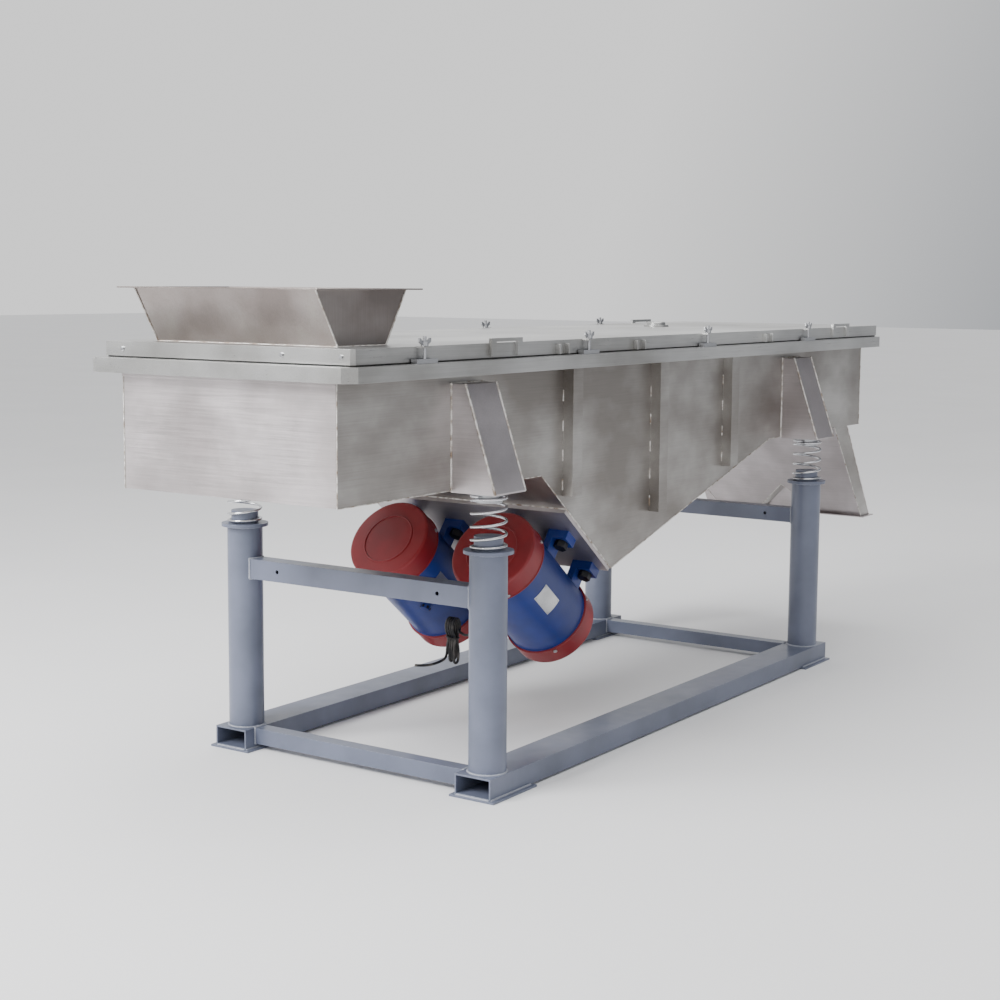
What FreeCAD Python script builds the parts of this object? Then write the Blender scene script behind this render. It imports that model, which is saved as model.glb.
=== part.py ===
"""Linear vibrating sieve: a parametric assembly in millimetres.

Frame of the model: origin on the floor under the middle of the whole machine, +X from the feed
end to the discharge end, +Y to the far side, +Z up.
"""
import FreeCAD
import Part
import Sketcher
import math
import os
import re

V = FreeCAD.Vector
SIDES = (("near", -1), ("far", 1))

SIZES = {
    # base frame of rectangular tube on four foot plates
    "frame_mid_x": -80, "frame_length": 1870, "frame_width": 845, "tube_wide": 100, "tube_tall": 50,
    "tube_wall": 4,
    "foot_thick": 5, "foot_length": 182, "foot_width": 125, "foot_beside": 13, "foot_beyond": 6,
    "cross_size": 40, "cross_wall": 3, "cross_inset_feed": 35, "cross_inset_out": 58,
    # posts, their caps and the two upper beams
    "post_diameter": 88.9, "post_wall": 4, "post_inset_feed": 60, "post_inset_out": 70,
    "cap_diameter": 117, "cap_thick": 8, "cap_top_z": 573, "stub_diameter": 68, "stub_height": 32,
    "beam_feed_size": 50, "beam_out_size": 45, "beam_wall": 3, "beam_feed_z": 461, "beam_out_z": 462,
    "beam_hole_diameter": 10, "beam_hole_y": 245,
    # springs and the seats above them
    "spring_outer": 88, "spring_wire": 6.6, "spring_closed_pitch": 7.4, "spring_open_pitch": 30,
    "spring_steps": 16,
    "seat_thick": 4, "seat_stub_diameter": 63, "seat_stub_height": 19,
    # trough
    "box_bottom_z": 709, "box_height": 263, "box_width": 620, "box_feed_x": -1419, "box_out_x": 1338,
    "sheet_thick": 3, "pan_thick": 4, "belly_start_x": -639, "belly_tip_x": -300, "belly_tip_z": 436,
    "belly_end_x": 645, "bracket_width": 122, "bracket_reach_top": 40, "bracket_reach_low": 122,
    "bracket_height": 246, "bracket_sheet": 4, "lip_tall": 9, "lip_thick": 4,
    "rib_width": 45, "rib_depth": 30, "rib_sheet": 3, "rib_one_x": -542, "rib_two_x": -99,
    "rib_three_x": 325, "rib_one_foot_z": 650, "rib_two_foot_z": 565, "rib_three_foot_z": 652,
    # top rail
    "rail_height": 33, "rail_over_side": 73, "rail_over_feed": 45, "rail_over_out": 7,
    "rail_chamfer": 25, "rail_sheet": 3,
    # sieve deck inside the trough
    "ledge_leg": 30, "ledge_sheet": 3, "ledge_z": 858, "deck_tube_wide": 30, "deck_tube_tall": 20,
    "deck_clear": 4, "deck_end_x": 1070, "deck_bars": 5, "mesh_thick": 1.5,
    # discharge chute under the far end of the trough
    "chute_top_x": 1138, "chute_top_depth": 104, "chute_low_x": 1384, "chute_low_depth": 68,
    "chute_low_z": 390, "spout_width": 158, "chute_taper_z": 595, "chute_far_y": 232,
    "notch_peak_y": -45, "notch_peak_z": 488, "spout_lip": 12,
    # motor seat and vibration motors, lengths measured along the sloping seat
    "seat_plate_thick": 12, "seat_plate_from": 150, "seat_plate_short": 5,
    "motor_x": -488, "motor_drop": 152, "motor_y": 164, "motor_body_radius": 110,
    "motor_body_half": 130, "cover_radius": 115, "cover_length": 60, "cover_wall": 3,
    "cover_edge": 6, "spigot_long": 6, "spigot_inner": 100,
    "stator_radius": 62, "stator_half": 70, "cavity_radius": 94, "shield_thick": 20,
    "bearing_outer": 36, "bearing_width": 16, "shaft_radius": 20, "shaft_half": 172,
    "core_half": 66, "air_gap": 0.6, "bearing_gap": 0.05, "weight_radius": 92, "weight_thick": 24,
    "weight_from": 138, "weight_hub": 34, "foot_pad_length": 46, "foot_pad_width": 44, "foot_pad_thick": 24,
    "foot_web_width": 20, "foot_web_y": 67, "foot_web_sunk": 3, "foot_pad_y": 95,
    "foot_pad_first": -56, "foot_pad_second": 96, "motor_bolt": 16,
    "bolt_head_across": 30, "bolt_head_tall": 14, "washer_diameter": 34, "washer_thick": 3,
    "plate_long": 80, "plate_wide": 48, "plate_thin": 0.8, "plate_turn": 21, "plate_along": -33,
    "gland_diameter": 26, "gland_length": 22, "gland_along": -20, "gland_off": 70,
    # supply cable: a short lead from the near motor, a tied hank and a bare tail
    "cable_diameter": 7, "lead_first_run": 25, "hank_x": -583, "hank_y": -6, "hank_top_z": 316,
    "knot_radius": 25, "knot_tall": 54, "hank_radius": 18, "hank_tall": 74, "hank_neck": 14,
    # lid and what it carries
    "run_gap": 0.3, "gasket_thick": 3, "gasket_wide": 22, "lid_inset_side": 22,
    "lid_inset_feed": 36, "lid_over_out": 5, "lid_height": 33, "lid_sheet": 2, "lid_lip": 25,
    "lid_corner": 8,
    "hopper_feed_x": -1356, "hopper_length": 163, "hopper_flare": 71, "hopper_width": 523,
    "hopper_height": 122, "hopper_sheet": 3, "hopper_flange": 27,
    "handle_span": 127, "handle_bar": 20, "handle_thick": 8, "handle_rise": 11, "handle_drop": 30,
    "handle_feed_x": -879, "handle_out_x": 1032,
    "lug_one_x": -636, "lug_two_x": -263, "lug_three_x": 497, "lug_thick": 6, "lug_deep": 12,
    "lug_tall": 24, "lug_gap": 34,
    "port_x": 635, "port_y": 85, "port_diameter": 78, "port_dome_diameter": 58, "port_rim": 5,
    "port_dome": 10, "port_dome_edge": 3,
    # clamps: a block and stud on the rail, an ear on the lid and a wing nut
    "clamp_one_x": -1200, "clamp_two_x": -525, "clamp_three_x": 105, "clamp_four_x": 770,
    "clamp_out": 11, "clamp_block_long": 74, "clamp_block_wide": 16, "clamp_block_tall": 10,
    "stud_diameter": 8, "stud_tall": 58, "ear_wide": 30, "ear_thick": 4, "ear_level": 33,
    "ear_hole": 11, "nut_hub": 17, "nut_root": 5.5, "nut_hub_tall": 9, "nut_span": 42, "wing_thick": 4,
    "wing_tall": 17, "thread_gap": 0.06,
}

DERIVED = {
    "post_y": "(frame_width - tube_wide) / 2",
    "post_feed_x": "frame_mid_x + post_inset_feed - frame_length / 2",
    "post_out_x": "frame_mid_x + frame_length / 2 - post_inset_out",
    "tube_top_z": "foot_thick + tube_tall",
    "seat_top_z": "box_bottom_z - bracket_sheet",
    "spring_top_z": "seat_top_z - seat_thick",
    "box_top_z": "box_bottom_z + box_height",
    "rail_top_z": "box_top_z + rail_height",
    "rail_feed_x": "box_feed_x - rail_over_feed",
    "rail_out_x": "box_out_x + rail_over_out",
    "rail_half": "box_width / 2 + rail_over_side",
    "inner_half": "box_width / 2 - sheet_thick",
    "belly_drop": "box_bottom_z - belly_tip_z",
    "belly_angle": "atan(belly_drop / (belly_tip_x - belly_start_x))",
    "belly_rise_angle": "atan(belly_drop / (belly_end_x - belly_tip_x))",
    "belly_slope_length": "belly_drop / sin(belly_angle)",
    "deck_feed_x": "box_feed_x + sheet_thick + deck_clear",
    "deck_half": "inner_half - deck_clear",
    "deck_top_z": "ledge_z + deck_tube_tall",
    "lid_feed_x": "rail_feed_x + lid_inset_feed",
    "lid_out_x": "rail_out_x + lid_over_out",
    "lid_half": "rail_half - lid_inset_side",
    "lid_low_z": "rail_top_z + run_gap + gasket_thick",
    "lid_top_z": "lid_low_z + lid_height",
    "stud_y": "lid_half + clamp_out",
    "motor_foot_height": "motor_drop - seat_plate_thick",
    "foot_web_low": "sqrt(motor_body_radius ^ 2 - (foot_web_y + foot_web_width / 2) ^ 2)"
                    " - foot_web_sunk",
    "cover_inner": "cover_radius - cover_wall",
    "motor_z": "belly_tip_z + belly_drop * (belly_tip_x - motor_x) / (belly_tip_x - belly_start_x)"
               " - motor_drop / cos(belly_angle)",
    "gland_face": "sqrt(motor_body_radius ^ 2 - gland_off ^ 2) + gland_length",
    "motor_along": "(motor_x - belly_start_x) * cos(belly_angle)"
                   " + (box_bottom_z - motor_z) * sin(belly_angle)",
    "chute_floor_run": "chute_low_x - chute_top_x",
    "chute_floor_fall": "box_bottom_z - chute_low_z",
    "chute_angle": "atan(chute_floor_fall / chute_floor_run)",
    "chute_back_x": "chute_top_x + chute_top_depth",
    "chute_back_low_x": "chute_low_x + chute_low_depth",
    "chute_back_angle": "atan(chute_floor_fall / (chute_back_low_x - chute_back_x))",
}
WORD = re.compile(r"[a-z][a-z_]*")

doc = FreeCAD.newDocument("vibrating_sieve")
sheet = doc.addObject("Spreadsheet::Sheet", "P")
for row, (size_name, size_value) in enumerate(SIZES.items(), 1):
    sheet.set(f"A{row}", size_name)
    sheet.set(f"B{row}", str(size_value))
    sheet.setAlias(f"B{row}", size_name)
doc.recompute()
bodies = {}


def formula(text):
    """Spell a formula in the sheet's own cells, with every derived name worked out."""
    def swap(match):
        word = match.group(0)
        if word in DERIVED:
            return "(" + formula(DERIVED[word]) + ")"
        return "P." + word if word in SIZES else word
    return WORD.sub(swap, str(text))


def number(text):
    """The present value of a formula."""
    value = sheet.evalExpression(formula(text))
    return float(getattr(value, "Value", value))


def new_body(label, x="0", y="0", z="0", turn=None, axis=V(0, 1, 0)):
    """A body placed by formulas, turned about one axis by a formula in degrees."""
    body = doc.addObject("PartDesign::Body", label)
    body.Label = label
    if turn is not None:
        body.Placement = FreeCAD.Placement(V(), FreeCAD.Rotation(axis, number(turn)))
        body.setExpression("Placement.Rotation.Angle", formula(turn))
    for direction, text in (("x", x), ("y", y), ("z", z)):
        body.setExpression(f"Placement.Base.{direction}", formula(text))
    bodies[label] = body
    return body


def new_sketch(body, plane="XY", lift="0"):
    """A sketch on one of the body's own planes, lifted along that plane's normal."""
    sketch = body.newObject("Sketcher::SketchObject", body.Label + "_sketch")
    origin_plane = next(f for f in body.Origin.OriginFeatures if f.Role == plane + "_Plane")
    sketch.AttachmentSupport = [(origin_plane, "")]
    sketch.MapMode = "FlatFace"
    sketch.setExpression("AttachmentOffset.Base.z", formula(lift))
    return sketch


def tie(sketch, kind, geometry, point, text):
    """Hold one coordinate of a sketch point at a formula."""
    constraint = Sketcher.Constraint(kind, -1, 1, geometry, point, number(text))
    index = sketch.addConstraint(constraint)
    sketch.setExpression(f"Constraints[{index}]", formula(text))


def outline(sketch, corners):
    """Draw a closed outline with straight sides through corners given as formulas."""
    spots = [V(number(a), number(b), 0) for a, b in corners]
    first = sketch.GeometryCount
    count = len(spots)
    for i in range(count):
        sketch.addGeometry(Part.LineSegment(spots[i], spots[(i + 1) % count]), False)
    for i in range(count):
        sketch.addConstraint(Sketcher.Constraint("Coincident", first + i, 2, first + (i + 1) % count, 1))
    for i, (a, b) in enumerate(corners):
        tie(sketch, "DistanceX", first + i, 1, a)
        tie(sketch, "DistanceY", first + i, 1, b)


def box_outline(sketch, x0, x1, y0, y1):
    """Draw a rectangle between two pairs of formulas."""
    outline(sketch, ((x0, y0), (x1, y0), (x1, y1), (x0, y1)))


def ring(sketch, diameter, x="0", y="0"):
    """Draw a full circle."""
    spot = V(number(x), number(y), 0)
    index = sketch.addGeometry(Part.Circle(spot, V(0, 0, 1), number(diameter) / 2), False)
    tie(sketch, "DistanceX", index, 3, x)
    tie(sketch, "DistanceY", index, 3, y)
    size = sketch.addConstraint(Sketcher.Constraint("Diameter", index, number(diameter)))
    sketch.setExpression(f"Constraints[{size}]", formula(diameter))


def pad(body, sketch, length, symmetric=False, backwards=False):
    """Raise a sketch along its normal."""
    feature = body.newObject("PartDesign::Pad", body.Label + "_pad")
    feature.Profile = sketch
    feature.setExpression("Length", formula(length))
    feature.SideType = "Symmetric" if symmetric else "One side"
    feature.Reversed = backwards
    sketch.Visibility = False
    return feature


def pocket(body, sketch, length=None, symmetric=False, backwards=False):
    """Cut a sketch into the body: right through both ways when it has no length."""
    feature = body.newObject("PartDesign::Pocket", body.Label + "_pocket")
    feature.Profile = sketch
    if length is None:
        feature.Type = "ThroughAll"
        feature.SideType = "Symmetric"
    else:
        feature.setExpression("Length", formula(length))
        feature.SideType = "Symmetric" if symmetric else "One side"
        feature.Reversed = backwards
    sketch.Visibility = False
    return feature


def revolve(body, sketch, axis="V_Axis"):
    """Turn a sketch a full circle about one of its own axes."""
    feature = body.newObject("PartDesign::Revolution", body.Label + "_revolution")
    feature.Profile = sketch
    feature.ReferenceAxis = (sketch, [axis])
    feature.Angle = 360
    sketch.Visibility = False
    return feature


def tube_section(body, plane, x0, x1, y0, y1, wall, length):
    """A square-cornered hollow tube, centred along the plane's normal."""
    sketch = new_sketch(body, plane)
    box_outline(sketch, x0, x1, y0, y1)
    box_outline(sketch, f"{x0} + {wall}", f"{x1} - {wall}", f"{y0} + {wall}", f"{y1} - {wall}")
    return pad(body, sketch, length, symmetric=True)


def joined(label, pieces):
    """One node that holds several loose, like pieces as separate solids."""
    group = doc.addObject("Part::Compound", label)
    group.Label = label
    group.Links = pieces
    for piece in pieces:
        bodies.pop(piece.Label, None)
    bodies[label] = group
    return group


# ---------------------------------------------------------------- round wire and cable
ARC_SHARE = 0.45


def rounded_route(points):
    """Straight runs joined by tangent arcs, as one wire, with the arcs' radii."""
    edges = []
    radii = []
    start = points[0]
    for before, corner, after in zip(points, points[1:], points[2:]):
        back, ahead = (before - corner), (after - corner)
        reach = ARC_SHARE * min(back.Length, ahead.Length)
        half_turn = (math.pi - back.getAngle(ahead)) / 2
        radii.append(reach / math.tan(half_turn))
        back.normalize()
        ahead.normalize()
        arc_start, arc_end = corner + back * reach, corner + ahead * reach
        inward = (back + ahead).normalize()
        centre_gap = radii[-1] / math.cos(half_turn)
        middle = corner + inward * (centre_gap - radii[-1])
        edges.append(Part.LineSegment(start, arc_start).toShape())
        edges.append(Part.Arc(arc_start, middle, arc_end).toShape())
        start = arc_end
    edges.append(Part.LineSegment(start, points[-1]).toShape())
    return Part.Wire(edges), radii


def round_wire(label, points, size, place=V()):
    """A round section swept along a rounded route, its volume checked against its length."""
    wire, radii = rounded_route(points)
    circle = Part.Circle(points[0], points[1] - points[0], size / 2).toShape()
    tube = wire.makePipeShell([Part.Wire([circle])], True, False)
    expected = wire.Length * math.pi * size ** 2 / 4
    print(label, "radii", round(min(radii), 1), "to", round(max(radii), 1),
          "length", round(wire.Length, 1), "volume ratio", round(tube.Volume / expected, 4))
    feature = doc.addObject("Part::Feature", label)
    feature.Label = label
    feature.Shape = tube
    feature.Placement = FreeCAD.Placement(place, FreeCAD.Rotation())
    bodies[label] = feature


# ---------------------------------------------------------------- base frame
def long_tubes():
    """Two rectangular tubes on the floor plates, open at both ends."""
    for side, sign in SIDES:
        body = new_body(f"long_tube_{side}", x="frame_mid_x", y=f"{sign} * post_y", z="foot_thick")
        tube_section(body, "YZ", "-tube_wide / 2", "tube_wide / 2", "0", "tube_tall", "tube_wall",
                     "frame_length")


def cross_tubes():
    """Two square tubes between the long tubes, flush with their tops."""
    rows = (("feed", "frame_mid_x + cross_inset_feed - frame_length / 2 + cross_size / 2"),
            ("discharge", "frame_mid_x + frame_length / 2 - cross_inset_out - cross_size / 2"))
    tubes = []
    for end, x in rows:
        body = new_body(f"cross_tube_{end}", x=x, z="tube_top_z - cross_size")
        tube_section(body, "XZ", "-cross_size / 2", "cross_size / 2", "0", "cross_size", "cross_wall",
                     "frame_width - 2 * tube_wide")
        tubes.append(body)
    joined("cross_tubes", tubes)


def foot_plates():
    """A thin floor plate under each corner of the frame, wider than the tube it carries."""
    plates = []
    for side, sign in SIDES:
        for end, way in (("feed", -1), ("discharge", 1)):
            body = new_body(f"foot_{side}_{end}",
                            x=f"frame_mid_x + {way} * (frame_length / 2 + foot_beyond)",
                            y=f"{sign} * (frame_width / 2 + foot_beside)")
            sketch = new_sketch(body)
            box_outline(sketch, "0", f"-{way} * foot_length", "0", f"-{sign} * foot_width")
            pad(body, sketch, "foot_thick")
            plates.append(body)
    joined("foot_plates", plates)


def posts():
    """Four round tubes that stand on the long tubes, each with a turned cap for its spring."""
    caps = []
    for side, sign in SIDES:
        for end in ("feed", "discharge"):
            x = "post_feed_x" if end == "feed" else "post_out_x"
            body = new_body(f"post_{side}_{end}", x=x, y=f"{sign} * post_y", z="tube_top_z")
            sketch = new_sketch(body)
            ring(sketch, "post_diameter")
            ring(sketch, "post_diameter - 2 * post_wall")
            pad(body, sketch, "cap_top_z - cap_thick - tube_top_z")
            cap = new_body(f"cap_{side}_{end}", x=x, y=f"{sign} * post_y", z="cap_top_z")
            profile = new_sketch(cap, "XZ")
            outline(profile, (("0", "-cap_thick"), ("cap_diameter / 2", "-cap_thick"),
                              ("cap_diameter / 2", "0"), ("stub_diameter / 2", "0"),
                              ("stub_diameter / 2", "stub_height"), ("0", "stub_height")))
            revolve(cap, profile)
            caps.append(cap)
    joined("post_caps", caps)


def upper_beams():
    """A square tube between each pair of posts, coped to the round posts, with bolt holes."""
    rows = (("feed", "post_feed_x", "beam_feed_size", "beam_feed_z"),
            ("discharge", "post_out_x", "beam_out_size", "beam_out_z"))
    for end, x, size, level in rows:
        body = new_body(f"upper_beam_{end}", x=x, z=level)
        tube_section(body, "XZ", f"-{size} / 2", f"{size} / 2", f"-{size} / 2", f"{size} / 2",
                     "beam_wall", "2 * post_y")
        cope = new_sketch(body)
        for sign in (-1, 1):
            ring(cope, "post_diameter", y=f"{sign} * post_y")
        pocket(body, cope)
        holes = new_sketch(body, "YZ")
        for sign in (-1, 1):
            ring(holes, "beam_hole_diameter", x=f"{sign} * beam_hole_y")
        pocket(body, holes)


def springs():
    """Four compression springs: a closed turn at each end and open turns between."""
    closed = number("spring_closed_pitch")
    rise = number("spring_top_z - run_gap - cap_top_z - spring_wire")
    open_rise = rise - 2 * closed
    turns = round(2 * open_rise / number("spring_open_pitch")) / 2
    radius = number("(spring_outer - spring_wire) / 2")
    steps = int(number("spring_steps"))
    points = []
    for step in range(int((turns + 2) * steps) + 1):
        turn = step / steps
        height = closed * min(turn, 1) + open_rise * min(max(turn - 1, 0), turns) / turns \
            + closed * max(turn - 1 - turns, 0)
        angle = 2 * math.pi * turn
        points.append(V(radius * math.cos(angle), radius * math.sin(angle), height))
    for side, sign in SIDES:
        for end in ("feed", "discharge"):
            foot = V(number(f"post_{'feed' if end == 'feed' else 'out'}_x"), sign * number("post_y"),
                     number("cap_top_z + spring_wire / 2"))
            round_wire(f"spring_{side}_{end}", points, number("spring_wire"), foot)


# ---------------------------------------------------------------- trough
def belly_profile():
    """Corners of the trough's side: a long box with a V-shaped belly under its feed half."""
    return (("box_feed_x", "box_top_z"), ("box_feed_x", "box_bottom_z"),
            ("belly_start_x", "box_bottom_z"), ("belly_tip_x", "belly_tip_z"),
            ("belly_end_x", "box_bottom_z"), ("box_out_x", "box_bottom_z"),
            ("box_out_x", "box_top_z"))


def trough_plates():
    """Two side plates, two end plates (the outlet's with a sill) and the folded floor."""
    for side, sign in SIDES:
        body = new_body(f"side_plate_{side}", y=f"{sign} * (box_width - sheet_thick) / 2")
        sketch = new_sketch(body, "XZ")
        outline(sketch, belly_profile())
        pad(body, sketch, "sheet_thick", symmetric=True)
    for end, x in (("feed", "box_feed_x"), ("discharge", "box_out_x - sheet_thick")):
        body = new_body(f"end_plate_{end}", x=x, z="box_bottom_z")
        sketch = new_sketch(body, "YZ")
        box_outline(sketch, "-inner_half", "inner_half", "0", "box_height")
        pad(body, sketch, "sheet_thick")
        if end == "feed":
            lip = new_sketch(body, "YZ")
            box_outline(lip, "-box_width / 2", "box_width / 2", "box_height - lip_tall", "box_height")
            pad(body, lip, "lip_thick", backwards=True)
        else:
            sill = new_sketch(body)
            box_outline(sill, "chute_back_x - box_out_x", "0", "-inner_half", "inner_half")
            pad(body, sill, "sheet_thick")
    body = new_body("trough_floor")
    sketch = new_sketch(body, "XZ")
    low = (("box_feed_x + sheet_thick", "box_bottom_z"), ("belly_start_x", "box_bottom_z"),
           ("belly_tip_x", "belly_tip_z"), ("belly_end_x", "box_bottom_z"),
           ("chute_top_x + 2 * sheet_thick", "box_bottom_z"))
    high = [(x, f"{z} + pan_thick") for x, z in reversed(low)]
    outline(sketch, low + tuple(high))
    pad(body, sketch, "2 * inner_half", symmetric=True)


def spring_brackets():
    """Four hollow wedges on the trough's sides: deep at the foot, where the spring seat sits."""
    pieces = []
    seats = []
    for side, sign in SIDES:
        for end in ("feed", "discharge"):
            x = "post_feed_x" if end == "feed" else "post_out_x"
            body = new_body(f"bracket_{side}_{end}", x=x, y=f"{sign} * box_width / 2", z="seat_top_z")
            sketch = new_sketch(body, "YZ")
            outline(sketch, (("0", "0"), (f"{sign} * bracket_reach_low", "0"),
                             (f"{sign} * bracket_reach_low", "bracket_sheet"),
                             (f"{sign} * bracket_reach_top", "bracket_height"),
                             ("0", "bracket_height")))
            pad(body, sketch, "bracket_width", symmetric=True)
            hollow = new_sketch(body, "YZ")
            outline(hollow, (("0", "bracket_sheet"),
                             (f"{sign} * (bracket_reach_low - bracket_sheet)", "bracket_sheet"),
                             (f"{sign} * (bracket_reach_top - bracket_sheet)",
                              "bracket_height - bracket_sheet"),
                             ("0", "bracket_height - bracket_sheet")))
            pocket(body, hollow, "bracket_width - 2 * bracket_sheet", symmetric=True)
            pieces.append(body)
            seat = new_body(f"seat_{side}_{end}", x=x, y=f"{sign} * post_y", z="seat_top_z")
            profile = new_sketch(seat, "XZ")
            outline(profile, (("0", "0"), ("0", "-seat_thick - seat_stub_height"),
                              ("seat_stub_diameter / 2", "-seat_thick - seat_stub_height"),
                              ("seat_stub_diameter / 2", "-seat_thick"),
                              ("spring_outer / 2", "-seat_thick"), ("spring_outer / 2", "0")))
            revolve(seat, profile)
            seats.append(seat)
    joined("spring_brackets", pieces)
    joined("spring_seats", seats)


def ribs():
    """Three folded channels down each side of the trough, from the rail to the belly."""
    rows = (("one", "rib_one_x", "rib_one_foot_z"), ("two", "rib_two_x", "rib_two_foot_z"),
            ("three", "rib_three_x", "rib_three_foot_z"))
    pieces = []
    for side, sign in SIDES:
        for name, x, foot in rows:
            body = new_body(f"rib_{side}_{name}", x=x, y=f"{sign} * box_width / 2", z=foot)
            sketch = new_sketch(body)
            outline(sketch, (("0", "0"), ("0", f"{sign} * rib_depth"),
                             ("rib_width", f"{sign} * rib_depth"), ("rib_width", "0"),
                             ("rib_width - rib_sheet", "0"),
                             ("rib_width - rib_sheet", f"{sign} * (rib_depth - rib_sheet)"),
                             ("rib_sheet", f"{sign} * (rib_depth - rib_sheet)"), ("rib_sheet", "0")))
            pad(body, sketch, f"box_top_z - {foot}")
            pieces.append(body)
    joined("side_ribs", pieces)


def rail_outline(sketch, inset):
    """The rail's plan: a rectangle with four cut corners, drawn a wall's width further in."""
    x0, x1 = f"rail_feed_x + {inset}", f"rail_out_x - {inset}"
    side = f"rail_half - {inset}"
    outline(sketch, ((f"{x0} + rail_chamfer", f"-({side})"), (f"{x1} - rail_chamfer", f"-({side})"),
                     (x1, f"rail_chamfer - ({side})"), (x1, f"{side} - rail_chamfer"),
                     (f"{x1} - rail_chamfer", side), (f"{x0} + rail_chamfer", side),
                     (x0, f"{side} - rail_chamfer"), (x0, f"rail_chamfer - ({side})")))


def mouth_outline(sketch, grow):
    """The trough's mouth in plan, grown by a wall's width."""
    box_outline(sketch, f"box_feed_x + sheet_thick - {grow}", f"box_out_x - sheet_thick + {grow}",
                f"-(inner_half + {grow})", f"inner_half + {grow}")


def top_rail():
    """A folded channel, open below, welded all round the trough's mouth."""
    body = new_body("top_rail", z="box_top_z")
    sketch = new_sketch(body)
    rail_outline(sketch, "0")
    mouth_outline(sketch, "0")
    pad(body, sketch, "rail_height")
    hollow = new_sketch(body)
    box_outline(hollow, "rail_feed_x + rail_sheet", "box_feed_x",
                "rail_chamfer - rail_half", "rail_half - rail_chamfer")
    pocket(body, hollow, "rail_height - rail_sheet", backwards=True)
    for sign in (-1, 1):
        hollow = new_sketch(body)
        box_outline(hollow, "rail_feed_x + rail_chamfer", "rail_out_x - rail_chamfer",
                    f"{sign} * box_width / 2", f"{sign} * (rail_half - rail_sheet)")
        pocket(body, hollow, "rail_height - rail_sheet", backwards=True)


# ---------------------------------------------------------------- sieve deck
def sieve_deck():
    """Two angle ledges on the side plates, a welded tube frame and the sieve cloth on it."""
    ledges = []
    for side, sign in SIDES:
        body = new_body(f"ledge_{side}", y=f"{sign} * inner_half", z="ledge_z")
        sketch = new_sketch(body, "YZ", lift="deck_feed_x")
        outline(sketch, (("0", "0"), (f"-{sign} * ledge_leg", "0"),
                         (f"-{sign} * ledge_leg", "-ledge_sheet"),
                         (f"-{sign} * ledge_sheet", "-ledge_sheet"),
                         (f"-{sign} * ledge_sheet", "-ledge_leg"), ("0", "-ledge_leg")))
        pad(body, sketch, "deck_end_x - deck_feed_x")
        ledges.append(body)
    joined("deck_ledges", ledges)
    body = new_body("deck_frame", z="ledge_z")
    sketch = new_sketch(body)
    box_outline(sketch, "deck_feed_x", "deck_end_x", "-deck_half", "deck_half")
    box_outline(sketch, "deck_feed_x + deck_tube_wide", "deck_end_x - deck_tube_wide",
                "deck_tube_wide - deck_half", "deck_half - deck_tube_wide")
    pad(body, sketch, "deck_tube_tall")
    step = "(deck_end_x - deck_feed_x - deck_tube_wide) / (deck_bars + 1)"
    for bar in range(1, int(number("deck_bars")) + 1):
        sketch = new_sketch(body)
        start = f"deck_feed_x + {bar} * {step}"
        box_outline(sketch, start, f"{start} + deck_tube_wide",
                    "deck_tube_wide / 2 - deck_half", "deck_half - deck_tube_wide / 2")
        pad(body, sketch, "deck_tube_tall")
    body = new_body("sieve_cloth", z="deck_top_z")
    sketch = new_sketch(body)
    box_outline(sketch, "deck_feed_x", "deck_end_x", "-deck_half", "deck_half")
    pad(body, sketch, "mesh_thick")


# ---------------------------------------------------------------- discharge chute
def chute_plan(sketch, top, slope_length, notched):
    """A chute plate laid flat: full width above, one cut-back side and, if wanted, a notch."""
    fall = "chute_floor_fall"
    taper = f"{slope_length} * (box_bottom_z - chute_taper_z) / {fall}"
    peak = f"{slope_length} * (box_bottom_z - notch_peak_z) / {fall}"
    half = "(box_width / 2)"
    corners = [(top, f"-{half}"), (slope_length, f"-{half}")]
    if notched:
        corners += [(slope_length, f"spout_width - {half}"), (peak, "notch_peak_y"),
                    (slope_length, "chute_far_y - spout_width")]
    corners += [(slope_length, "chute_far_y"), (taper, half), (top, half)]
    outline(sketch, corners)


def chute():
    """A steep sheet chute that splits into a near and a far spout, with lips at the outlets."""
    floor_length = "sqrt(chute_floor_fall ^ 2 + chute_floor_run ^ 2)"
    body = new_body("chute_floor", x="chute_top_x", z="box_bottom_z", turn="chute_angle")
    sketch = new_sketch(body)
    chute_plan(sketch, "sheet_thick / tan(chute_angle)", floor_length, True)
    pad(body, sketch, "sheet_thick")
    body = new_body("chute_back", x="chute_back_x", z="box_bottom_z", turn="chute_back_angle")
    sketch = new_sketch(body)
    chute_plan(sketch, "0", "chute_floor_fall / sin(chute_back_angle)"
                            " - sheet_thick / tan(chute_back_angle)", False)
    pad(body, sketch, "sheet_thick", backwards=True)
    chute_sides()
    spout_lips()


def between_sheets(body):
    """Cut a chute side down to the slanting gap between the floor sheet and the back sheet."""
    floor_off = "sheet_thick / sin(chute_angle)"
    back_off = "sheet_thick / sin(chute_back_angle)"
    below = new_sketch(body, "XZ")
    outline(below, (("chute_top_x - chute_top_depth", "box_bottom_z + sheet_thick"),
                    ("chute_top_x - chute_top_depth", "chute_low_z - spout_lip"),
                    (f"chute_low_x + {floor_off}", "chute_low_z - spout_lip"),
                    (f"chute_low_x + {floor_off}", "chute_low_z"),
                    (f"chute_top_x + {floor_off}", "box_bottom_z"),
                    (f"chute_top_x + {floor_off}", "box_bottom_z + sheet_thick")))
    pocket(body, below)
    above = new_sketch(body, "XZ")
    outline(above, ((f"chute_back_x - {back_off}", "box_bottom_z + sheet_thick"),
                    (f"chute_back_x - {back_off}", "box_bottom_z"),
                    (f"chute_back_low_x - {back_off}", "chute_low_z"),
                    (f"chute_back_low_x - {back_off}", "chute_low_z - spout_lip"),
                    ("chute_back_low_x + chute_top_depth", "chute_low_z - spout_lip"),
                    ("chute_back_low_x + chute_top_depth", "box_bottom_z + sheet_thick")))
    pocket(body, above)


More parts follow.
